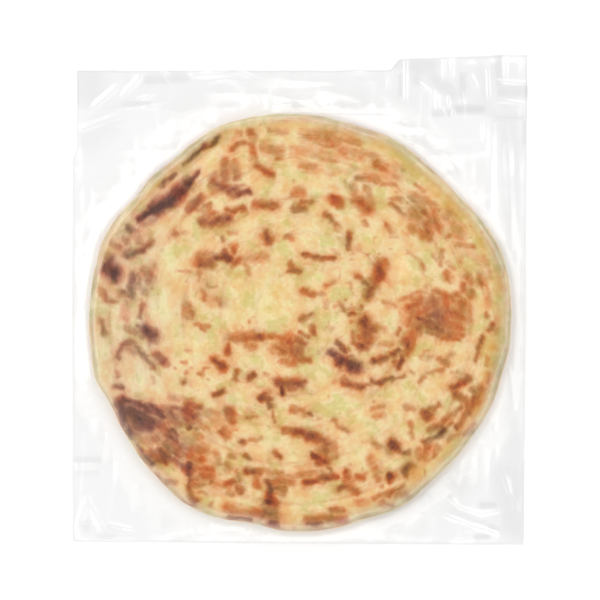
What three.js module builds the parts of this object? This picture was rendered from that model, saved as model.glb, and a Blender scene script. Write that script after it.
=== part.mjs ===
// A coiled, layered flatbread, baked brown on a griddle and sealed in a clear film bag. The bag's two
// films hug the bread, fall from its rim to the table and meet at the sealed edges, so the pack is shut
// all round and is one body. Millimetres, +Z up. The pack lies on Z = 0, the middle of its outline is
// on the Z axis, and +Y points at the bag's wide top seal.

import * as THREE from 'three';

// The bread: a dough rope wound into a coil, then rolled flat.
const BREAD_DIAMETER = 238.2;
const BREAD_CENTRE = new THREE.Vector2(0, -12.6); // it has slid towards the bottom seal
const BREAD_TOP = 8.4; // height of its top above the table, film included
const RIM_WIDTH = 7; // width of the rounded rim, seen from above
const RIM_FOOT = 2.4; // height at which the rounding ends and the film lets go of the bread
const COIL_PITCH = 21; // from one seam of the coil to the next
const COIL_RELIEF = 0.45; // how far the seams dip and the turns crown
const COIL_EYE = 16; // radius within which the coil's relief dies out

// Places where hand rolling left the rim bulging (+) or flat (-): the direction from the bread's
// centre and the half width of the place in degrees, and how far the rim stands out there.
const RIM_LUMPS = [
  { at: 18, spread: 12, out: 2.2 },
  { at: 45, spread: 18, out: -5.1 },
  { at: 75, spread: 12, out: -3.2 },
  { at: 92, spread: 8, out: -1.0 },
  { at: 112, spread: 9, out: 0.8 },
  { at: 128, spread: 7, out: -2.6 },
  { at: 142, spread: 6, out: -2.8 },
  { at: 159, spread: 9, out: 1.4 },
  { at: 196, spread: 4, out: 1.6 },
  { at: 205, spread: 8, out: -2.6 },
  { at: 216, spread: 5, out: -1.2 },
  { at: 226, spread: 6, out: -0.8 },
  { at: 239, spread: 11, out: 2.2 },
  { at: 256, spread: 6, out: -2.2 },
  { at: 270, spread: 15, out: -1.0 },
  { at: 288, spread: 7, out: -2.0 },
  { at: 310, spread: 8, out: -2.2 },
  { at: 326, spread: 12, out: -2.4 },
  { at: 345, spread: 5, out: -1.4 },
];

// The bag: flat, a little out of square, and sealed all round.
const BAG_WIDTH = 258;
const BAG_LENGTH = 278;
const SEAL_THICKNESS = 1; // the crimped edge, from the table to the top of its small waves
const DRAPE_REACH = 30; // how far from the bread the upper film comes down to the lower one
// How far each corner stands in from the bag's outline box, along X and along Y.
const CORNER_INSETS = {
  topLeft: [2.8, 7],
  topRight: [0, 0],
  bottomLeft: [0, 2],
  bottomRight: [2, 0],
};

// Fineness of the mesh. The segments are a multiple of 8, so that four of them meet the bag's corners.
const SEGMENTS = 96;
const CROWN_RINGS = 22;
const RIM_RINGS = 4;
const DRAPE_RINGS = 7;

/** Radius of the bread in the direction `angle`, in radians from +X. */
function rimRadius(angle) {
  let radius = BREAD_DIAMETER / 2;
  for (const lump of RIM_LUMPS) {
    const turn = THREE.MathUtils.radToDeg(angle) - lump.at;
    const apart = THREE.MathUtils.euclideanModulo(turn + 180, 360) - 180;
    radius += lump.out * Math.exp(-((apart / lump.spread) ** 2));
  }
  return radius;
}

/** Point of the bread's rim in the direction `angle`. */
function rimPoint(angle) {
  const fromCentre = new THREE.Vector2(Math.cos(angle), Math.sin(angle));
  return fromCentre.multiplyScalar(rimRadius(angle)).add(BREAD_CENTRE);
}

/** Corner of the bag, on the side of the signs `right` and `up`, set in by its own inset. */
function bagCorner(right, up, [insetX, insetY]) {
  return new THREE.Vector2(right * (BAG_WIDTH / 2 - insetX), up * (BAG_LENGTH / 2 - insetY));
}

const corners = {
  topLeft: bagCorner(-1, 1, CORNER_INSETS.topLeft),
  topRight: bagCorner(1, 1, CORNER_INSETS.topRight),
  bottomLeft: bagCorner(-1, -1, CORNER_INSETS.bottomLeft),
  bottomRight: bagCorner(1, -1, CORNER_INSETS.bottomRight),
};

/** Point of the bag's edge that faces `angle`: odd multiples of 45 degrees are its corners. */
function edgePoint(angle) {
  const reach = Math.max(Math.abs(Math.cos(angle)), Math.abs(Math.sin(angle)));
  const across = (Math.cos(angle) / reach + 1) / 2;
  const upwards = (Math.sin(angle) / reach + 1) / 2;
  const top = corners.topLeft.clone().lerp(corners.topRight, across);
  const bottom = corners.bottomLeft.clone().lerp(corners.bottomRight, across);
  return bottom.lerp(top, upwards);
}

/** Height of the coil's relief at `radius` and `angle`: one crown per turn, dying out in the eye. */
function coilRelief(radius, angle) {
  const fade = THREE.MathUtils.smoothstep(radius, 0, COIL_EYE);
  return COIL_RELIEF * fade * Math.cos((2 * Math.PI * radius) / COIL_PITCH - angle);
}

/**
 * Profile of the pack as a solid of revolution, from the middle of its base round to the middle of
 * its top. Radii up to the bread's are the bread. The rings of the film round it follow one
 * millimetre apart, and shapeVertex spreads them out to the bag's edge.
 */
function packProfile() {
  const radius = BREAD_DIAMETER / 2;
  const profile = [new THREE.Vector2(0, 0), new THREE.Vector2(radius + DRAPE_RINGS, 0)];
  for (let ring = DRAPE_RINGS; ring > 0; ring--) {
    profile.push(new THREE.Vector2(radius + ring, SEAL_THICKNESS));
  }
  for (let ring = 0; ring < RIM_RINGS; ring++) {
    const turn = (Math.PI / 2) * (ring / RIM_RINGS);
    const rise = (BREAD_TOP - RIM_FOOT) * Math.sin(turn);
    profile.push(new THREE.Vector2(radius - RIM_WIDTH * (1 - Math.cos(turn)), RIM_FOOT + rise));
  }
  for (let ring = CROWN_RINGS; ring >= 0; ring--) {
    profile.push(new THREE.Vector2((radius - RIM_WIDTH) * (ring / CROWN_RINGS), BREAD_TOP));
  }
  return profile;
}

/** Moves one vertex from the round profile to its place on the bread or on the film round it. */
function shapeVertex(vertex) {
  const angle = Math.atan2(vertex.y, vertex.x);
  const radius = Math.hypot(vertex.x, vertex.y);
  const nominal = BREAD_DIAMETER / 2;
  const rim = rimPoint(angle);
  const onBread = Math.min(radius / nominal, 1);
  const place = BREAD_CENTRE.clone().lerp(rim, onBread);
  if (radius > nominal) {
    const edge = edgePoint(angle);
    const outwards = (radius - nominal) / DRAPE_RINGS;
    const reach = Math.min(DRAPE_REACH, rim.distanceTo(edge));
    place.lerp(edge, outwards);
    if (vertex.z > 0) {
      const fall = Math.min(place.distanceTo(rim) / reach, 1);
      vertex.z = SEAL_THICKNESS + (RIM_FOOT - SEAL_THICKNESS) * (1 - fall) ** 2;
    }
  } else if (vertex.z > RIM_FOOT) {
    const crowned = (vertex.z - RIM_FOOT) / (BREAD_TOP - RIM_FOOT);
    vertex.z += crowned * coilRelief(radius, angle);
  }
  vertex.set(place.x, place.y, vertex.z);
}

/** The pack as a closed body. */
function packGeometry() {
  const geometry = new THREE.LatheGeometry(packProfile(), SEGMENTS);
  geometry.rotateX(Math.PI / 2);
  const positions = geometry.getAttribute('position');
  const vertex = new THREE.Vector3();
  for (let index = 0; index < positions.count; index++) {
    vertex.fromBufferAttribute(positions, index);
    shapeVertex(vertex);
    positions.setXYZ(index, vertex.x, vertex.y, vertex.z);
  }
  geometry.computeVertexNormals();
  return geometry;
}

const bakedDough = new THREE.MeshStandardMaterial({ color: 0xdcb37e, roughness: 0.35, metalness: 0 });
const pack = new THREE.Mesh(packGeometry(), bakedDough);
pack.name = 'katmer_pack';

const group = new THREE.Group();
group.add(pack);

export default group;
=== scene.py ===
"""A katmer, a coiled and layered flatbread, lying in its clear film bag.

The bread is a lathe-turned disc of dough. A coil's seams, blisters and flakes shape its crown, and
scorch marks run along the coil. The bag is one closed skin of clear film: it hugs the bread, falls
from its rim, and lies creased around it, with its mouth folded over as a flap at the top.

Shapes are worked out in millimetres and written in metres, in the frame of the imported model. The
bag's outline is centred on the frame's Z axis, and +Y points at the bag's mouth.
"""

import logging
import math
from dataclasses import dataclass
from enum import Enum

import bmesh
import bpy
import numpy as np
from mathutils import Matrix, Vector

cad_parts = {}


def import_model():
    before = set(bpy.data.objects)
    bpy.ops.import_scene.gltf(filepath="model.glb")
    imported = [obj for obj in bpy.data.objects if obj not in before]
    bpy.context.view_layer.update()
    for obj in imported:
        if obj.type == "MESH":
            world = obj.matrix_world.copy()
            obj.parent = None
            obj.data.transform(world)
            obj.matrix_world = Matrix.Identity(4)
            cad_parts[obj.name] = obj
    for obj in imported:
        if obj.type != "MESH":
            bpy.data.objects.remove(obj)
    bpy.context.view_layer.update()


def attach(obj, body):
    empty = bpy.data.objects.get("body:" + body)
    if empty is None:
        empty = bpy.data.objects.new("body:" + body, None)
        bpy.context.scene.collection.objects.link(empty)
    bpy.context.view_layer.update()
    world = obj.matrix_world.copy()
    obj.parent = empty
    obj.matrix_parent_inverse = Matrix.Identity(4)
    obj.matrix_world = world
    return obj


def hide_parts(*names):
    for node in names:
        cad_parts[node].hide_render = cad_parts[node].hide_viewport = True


LOG = logging.getLogger("katmer")
MM = 0.001
# Added to a sum that may be 0 before something is divided by it.
TINY = 1e-6
# A stroke is painted as far out as this many of its widths, where hardly any of it is left.
STROKE_REACH = 1.3
# e to the power of minus this is a half.
HALVING = 0.69

Array = np.ndarray
# Where something starts to rise and where it has fully risen, or its values at those two places.
Span = tuple[float, float]
Stops = tuple[tuple[float, str], ...]
Strokes = tuple[tuple[float, float, float, float, float, float], ...]
NodeValue = float | tuple | bpy.types.NodeSocket


class Blend(Enum):
    """How one colour is laid over another."""

    MIX = "MIX"
    MULTIPLY = "MULTIPLY"


# --- Small tools -------------------------------------------------------------------------------


def linear(hex_code: str) -> tuple[float, float, float, float]:
    """Turns an sRGB hex colour into the linear colour that shaders work in.

    Args:
        hex_code: six hex digits, such as "e8c993".

    Returns:
        Red, green, blue and an alpha of 1.
    """
    channels = (int(hex_code[start : start + 2], 16) / 255 for start in (0, 2, 4))
    red, green, blue = (c / 12.92 if c <= 0.04045 else ((c + 0.055) / 1.055) ** 2.4 for c in channels)
    return red, green, blue, 1.0


def smooth_step(value: Array, low: float, high: float) -> Array:
    """Rises smoothly from 0 at low to 1 at high."""
    share = np.clip((value - low) / (high - low), 0.0, 1.0)
    return share * share * (3.0 - 2.0 * share)


def smooth_max(first: Array, second: Array, blend: float) -> Array:
    """The larger of two heights, with the kink between them rounded over the height blend."""
    gap = first - second
    return 0.5 * (first + second + np.sqrt(gap * gap + blend * blend))


def bell(away: Array, width: float) -> Array:
    """A rounded bump: 1 in its middle, and about a third one width away."""
    return np.exp(-((away / width) ** 2))


def add_stroke(values: Array, x: Array, y: Array, stroke: tuple[float, ...], edge: float) -> None:
    """Raises the values under one straight stroke, to half its strength where its width ends.

    Args:
        values: each point's value so far, which is changed.
        x: the points' positions in millimetres.
        y: the same.
        stroke: its two ends, its width in millimetres, and the value along its middle.
        edge: how sharply it ends: larger is sharper.
    """
    start_x, start_y, end_x, end_y, width, strength = stroke
    reach = STROKE_REACH * width
    near = np.flatnonzero(
        (x > min(start_x, end_x) - reach)
        & (x < max(start_x, end_x) + reach)
        & (y > min(start_y, end_y) - reach)
        & (y < max(start_y, end_y) + reach)
    )
    from_x, from_y = x[near] - start_x, y[near] - start_y
    run_x, run_y = end_x - start_x, end_y - start_y
    share = np.clip((from_x * run_x + from_y * run_y) / (run_x * run_x + run_y * run_y + TINY), 0, 1)
    away = np.hypot(from_x - share * run_x, from_y - share * run_y) / (0.5 * width)
    values[near] = np.maximum(values[near], strength * np.exp(-HALVING * away**edge))


def strokes_at(x: Array, y: Array, strokes: Strokes, edge: float = 1.9) -> Array:
    """Values painted on the plane by strokes, and 0 elsewhere.

    Args:
        x: the points' positions in millimetres.
        y: the same.
        strokes: what is painted. Where they overlap, the highest value counts.
        edge: how sharply they end.

    Returns:
        One value for each point.
    """
    values = np.zeros_like(x)
    for stroke in strokes:
        add_stroke(values, x, y, stroke, edge)
    return values


@dataclass(frozen=True)
class Noise:
    """Smooth noise on the plane, for shapes and for where marks wander.

    Attributes:
        seed: the same seed always gives the same noise.
        strength: how far it rises above 0 and sinks below.
        size: how wide one of its bumps is, in the coordinates' unit.
        layers: its layers, each half as large and half as strong as the one before.
        lattice: how many bumps it has before it repeats.
        shift: how far each layer lies from the one before, so that their lattices don't line up.
    """

    seed: int
    strength: float
    size: float
    layers: int = 1
    lattice: int = 256
    shift: tuple[float, float] = (7.3, -3.1)

    def at(self, x: Array, y: Array) -> Array:
        """The noise at each point.

        Args:
            x: first coordinates.
            y: second coordinates.

        Returns:
            One value for each point.
        """
        heights = np.random.default_rng(self.seed).uniform(-1.0, 1.0, (self.lattice, self.lattice))
        shift_x, shift_y = self.shift
        total = sum(
            self._layer(heights, x + shift_x * n, y + shift_y * n, self.size / 2**n) / 2**n
            for n in range(self.layers)
        )
        return self.strength * (total / sum(0.5**n for n in range(self.layers)))

    def _layer(self, heights: Array, x: Array, y: Array, size: float) -> Array:
        """One layer of the noise.

        Args:
            heights: the lattice's random heights.
            x: first coordinates.
            y: second coordinates.
            size: how wide one bump of this layer is.

        Returns:
            One value for each point, from -1 to 1.
        """
        column, row = np.floor(x / size), np.floor(y / size)
        across, along = smooth_step(x / size - column, 0, 1), smooth_step(y / size - row, 0, 1)
        column, row = column.astype(int) % self.lattice, row.astype(int) % self.lattice
        right, above = (column + 1) % self.lattice, (row + 1) % self.lattice
        low = heights[column, row] * (1 - across) + heights[right, row] * across
        high = heights[column, above] * (1 - across) + heights[right, above] * across
        return low * (1 - along) + high * along


def add_node(
    tree: bpy.types.NodeTree,
    kind: str,
    inputs: dict[str | int, NodeValue] | None = None,
    stops: Stops = (),
    **settings: object,
) -> bpy.types.Node:
    """Adds one node, with its settings, values and incoming links.

    Args:
        tree: the node tree to add to.
        kind: the node's type, without the ShaderNode that it starts with.
        inputs: for each input, by name or number, a value or the output to link to it.
        stops: a colour ramp's places, from 0 to 1, and the sRGB hex colour at each.
        settings: the node's own properties.

    Returns:
        The new node.
    """
    node = tree.nodes.new("ShaderNode" + kind)
    for name, value in settings.items():
        setattr(node, name, value)
    for socket, value in (inputs or {}).items():
        if isinstance(value, bpy.types.NodeSocket):
            tree.links.new(value, node.inputs[socket])
        else:
            node.inputs[socket].default_value = value
    for number, (place, hex_code) in enumerate(stops):
        ramp = node.color_ramp
        if number == 0:
            ramp.interpolation = "EASE"
            ramp.elements.remove(ramp.elements[1])
            ramp.elements[0].position, ramp.elements[0].color = place, linear(hex_code)
        else:
            ramp.elements.new(place).color = linear(hex_code)
    return node


def new_material(name: str) -> bpy.types.Material:
    """Makes a material with an empty node tree.

    Args:
        name: what it is and how it was made.

    Returns:
        The material.
    """
    material = bpy.data.materials.new(name)
    material.use_nodes = True
    material.node_tree.nodes.clear()
    return material


def coordinates(mesh: bpy.types.Mesh) -> Array:
    """Reads a mesh's vertices as rows of x, y and z.

    Args:
        mesh: what to read.

    Returns:
        One row for each vertex.
    """
    flat = np.empty(len(mesh.vertices) * 3)
    mesh.vertices.foreach_get("co", flat)
    return flat.reshape(-1, 3)


def finish_mesh(name: str, form: bmesh.types.BMesh, material: bpy.types.Material) -> bpy.types.Object:
    """Turns a bmesh into a smooth-shaded object at the origin.

    Args:
        name: the object's name.
        form: the shape, which is freed.
        material: its finish.

    Returns:
        The object, in the scene.
    """
    mesh = bpy.data.meshes.new(name)
    form.to_mesh(mesh)
    form.free()
    mesh.polygons.foreach_set("use_smooth", [True] * len(mesh.polygons))
    mesh.materials.append(material)
    piece = bpy.data.objects.new(name, mesh)
    bpy.context.scene.collection.objects.link(piece)
    return piece


def move_vertices(mesh: bpy.types.Mesh, x: Array, y: Array, z: Array) -> None:
    """Puts a mesh's vertices where the arrays say, in millimetres."""
    mesh.vertices.foreach_set("co", (np.column_stack((x, y, z)) * MM).ravel())
    mesh.update()


def store_values(mesh: bpy.types.Mesh, **values: Array) -> None:
    """Stores numbers for each vertex, under the names by which the material reads them.

    Args:
        mesh: what to store them with.
        values: for each name, one number for each vertex.
    """
    for name, numbers in values.items():
        attribute = mesh.attributes.new(name, "FLOAT", "POINT")
        attribute.data.foreach_set("value", numbers.astype(np.float32))


# --- The bread's shape -------------------------------------------------------------------------


@dataclass(frozen=True)
class Lump:
    """A place where hand rolling left the rim bulging or flat.

    Attributes:
        at: its direction from the bread's centre, in degrees from +X.
        spread: its half width in degrees.
        out: how far the rim stands out there, in millimetres.
    """

    at: float
    spread: float
    out: float


@dataclass(frozen=True)
class BreadForm:
    """The bread's shape. Coordinates and heights are in millimetres, from the bread's own centre.

    Attributes:
        offset_y: where its centre lies, from the bag's middle.
        radius: its mean radius.
        underside: the height of its underside above the table.
        crown: the mean height of its top.
        rim_width: the width of the rounded rim, seen from above.
        rim_waist: the height at which the rim stands out furthest.
        coil_pitch: the distance from one seam of the coil to the next.
        coil_end: how far out the coil's outer end lies.
        coil_wander: how its seams stray from a spiral, in turns.
        coil_swell: how far the turns crown.
        coil_start: the span of radii over which the coil grows clear.
        seam_depth: how deep the seams are pressed in.
        seam_width: the half width of a seam.
        waves: the top's broad rise and fall.
        blisters: where the dough blistered, which is where this is above 0.
        blister_height: of the highest blister.
        bubble: the largest bubble's place, radius and height.
        taut: how far the film over it clears the coil.
        flakes: the thin flakes of the dough, which crease where this is 0.
        flake_height: of a flake.
        flake_level: what part of its height lies above the mean.
        ruffle: the fine ridges that run round with the coil.
        ruffle_scale: what turns a radius and an angle into their coordinates.
        ruffle_start: the span of radii over which they grow clear.
        lumps: the places where the rim isn't round.
    """

    offset_y: float = -12.6
    radius: float = 119.1
    underside: float = 0.35
    crown: float = 7.6
    rim_width: float = 4.8
    rim_waist: float = 3.6
    coil_pitch: float = 20.5
    coil_end: float = 107.0
    coil_wander: Noise = Noise(11, 0.13, 34.0)
    coil_swell: float = 0.3
    coil_start: Span = (6.0, 26.0)
    seam_depth: float = 0.35
    seam_width: float = 1.7
    waves: Noise = Noise(3, 0.45, 46.0)
    blisters: Noise = Noise(5, 1.0, 12.0)
    blister_height: float = 0.55
    bubble: tuple[float, float, float, float] = (59.5, 32.0, 8.5, 0.9)
    taut: float = 0.25
    flakes: Noise = Noise(8, 1.0, 5.0, 3)
    flake_height: float = 0.12
    flake_level: float = 0.8
    ruffle: Noise = Noise(9, 0.06, 3.0)
    ruffle_scale: tuple[float, float] = (2.2, 16.0)
    ruffle_start: Span = (20.0, 60.0)
    lumps: tuple[Lump, ...] = tuple(
        Lump(*sizes)
        for sizes in (
            (18, 12, 2.2), (45, 18, -5.1), (75, 12, -3.2), (92, 8, -1.0), (112, 9, 0.8), (128, 7, -2.6),
            (142, 6, -2.8), (159, 9, 1.4), (196, 4, 1.6), (205, 8, -2.6), (216, 5, -1.2), (226, 6, -0.8),
            (239, 11, 2.2), (256, 6, -2.2), (270, 15, -1.0), (288, 7, -2.0), (310, 8, -2.2),
            (326, 12, -2.4), (345, 5, -1.4),
        )
    )

    def rim(self, angle: Array) -> Array:
        """The rim's radius in each direction.

        Args:
            angle: the directions from the centre, in radians.

        Returns:
            One radius for each direction.
        """
        radius = np.full_like(angle, self.radius)
        for lump in self.lumps:
            apart = (np.degrees(angle) - lump.at + 180.0) % 360.0 - 180.0
            radius += lump.out * bell(apart, lump.spread)
        return radius

    def turn(self, x: Array, y: Array) -> Array:
        """Where each point lies across its turn of the coil: whole numbers are the seams."""
        spiral = (np.hypot(x, y) - self.coil_end) / self.coil_pitch + np.arctan2(y, x) / (2 * np.pi)
        return spiral - 0.5 + self.coil_wander.at(x, y)

    def seam(self, turn: Array, width: float) -> Array:
        """How much of a seam of this half width lies at each place across a turn, from 0 to 1."""
        return bell(np.abs(turn - np.round(turn)) * self.coil_pitch, width)

    def relief(self, x: Array, y: Array) -> Array:
        """How far the top stands above its mean height: what the film that lies on it follows.

        Args:
            x: millimetres from the bread's centre.
            y: the same.

        Returns:
            One height for each point.
        """
        fade = smooth_step(np.hypot(x, y), *self.coil_start)
        turn = self.turn(x, y)
        swell = self.coil_swell * np.cos(2 * np.pi * (turn - 0.5))
        coil = swell - self.seam_depth * self.seam(turn, self.seam_width)
        blisters = self.blister_height * np.clip(self.blisters.at(x, y), 0.0, 1.0) ** 2
        bubble_x, bubble_y, radius, height = self.bubble
        inside = np.clip(1.0 - (np.hypot(x - bubble_x, y - bubble_y) / radius) ** 2, 0.0, 1.0)
        return fade * coil + self.waves.at(x, y) + blisters + height * np.sqrt(inside)

    def crest(self, x: Array, y: Array) -> Array:
        """The height of a taut film that lies on the bread: it bridges the seams and hollows.

        Args:
            x: millimetres from the bread's centre.
            y: the same.

        Returns:
            One height for each point.
        """
        beyond = np.hypot(x, y) - self.rim(np.arctan2(y, x)) + self.rim_width
        rounding = np.sqrt(1.0 - np.clip(beyond / self.rim_width, 0.0, 1.0) ** 2)
        rise = self.crown - self.rim_waist + self.coil_swell + self.taut + self.waves.at(x, y)
        return self.rim_waist + rise * rounding

    def grain(self, x: Array, y: Array) -> Array:
        """The flakes and small creases of the layered dough, under the film.

        Args:
            x: millimetres from the bread's centre.
            y: the same.

        Returns:
            One height for each point.
        """
        radius = np.hypot(x, y)
        flakes = self.flake_height * (1.0 - np.abs(self.flakes.at(x, y)) - self.flake_level)
        outward, around = self.ruffle_scale
        ruffle = self.ruffle.at(radius * outward, np.arctan2(y, x) * around)
        return flakes + ruffle * smooth_step(radius, *self.ruffle_start)


# --- Scorch marks ------------------------------------------------------------------------------

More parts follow.
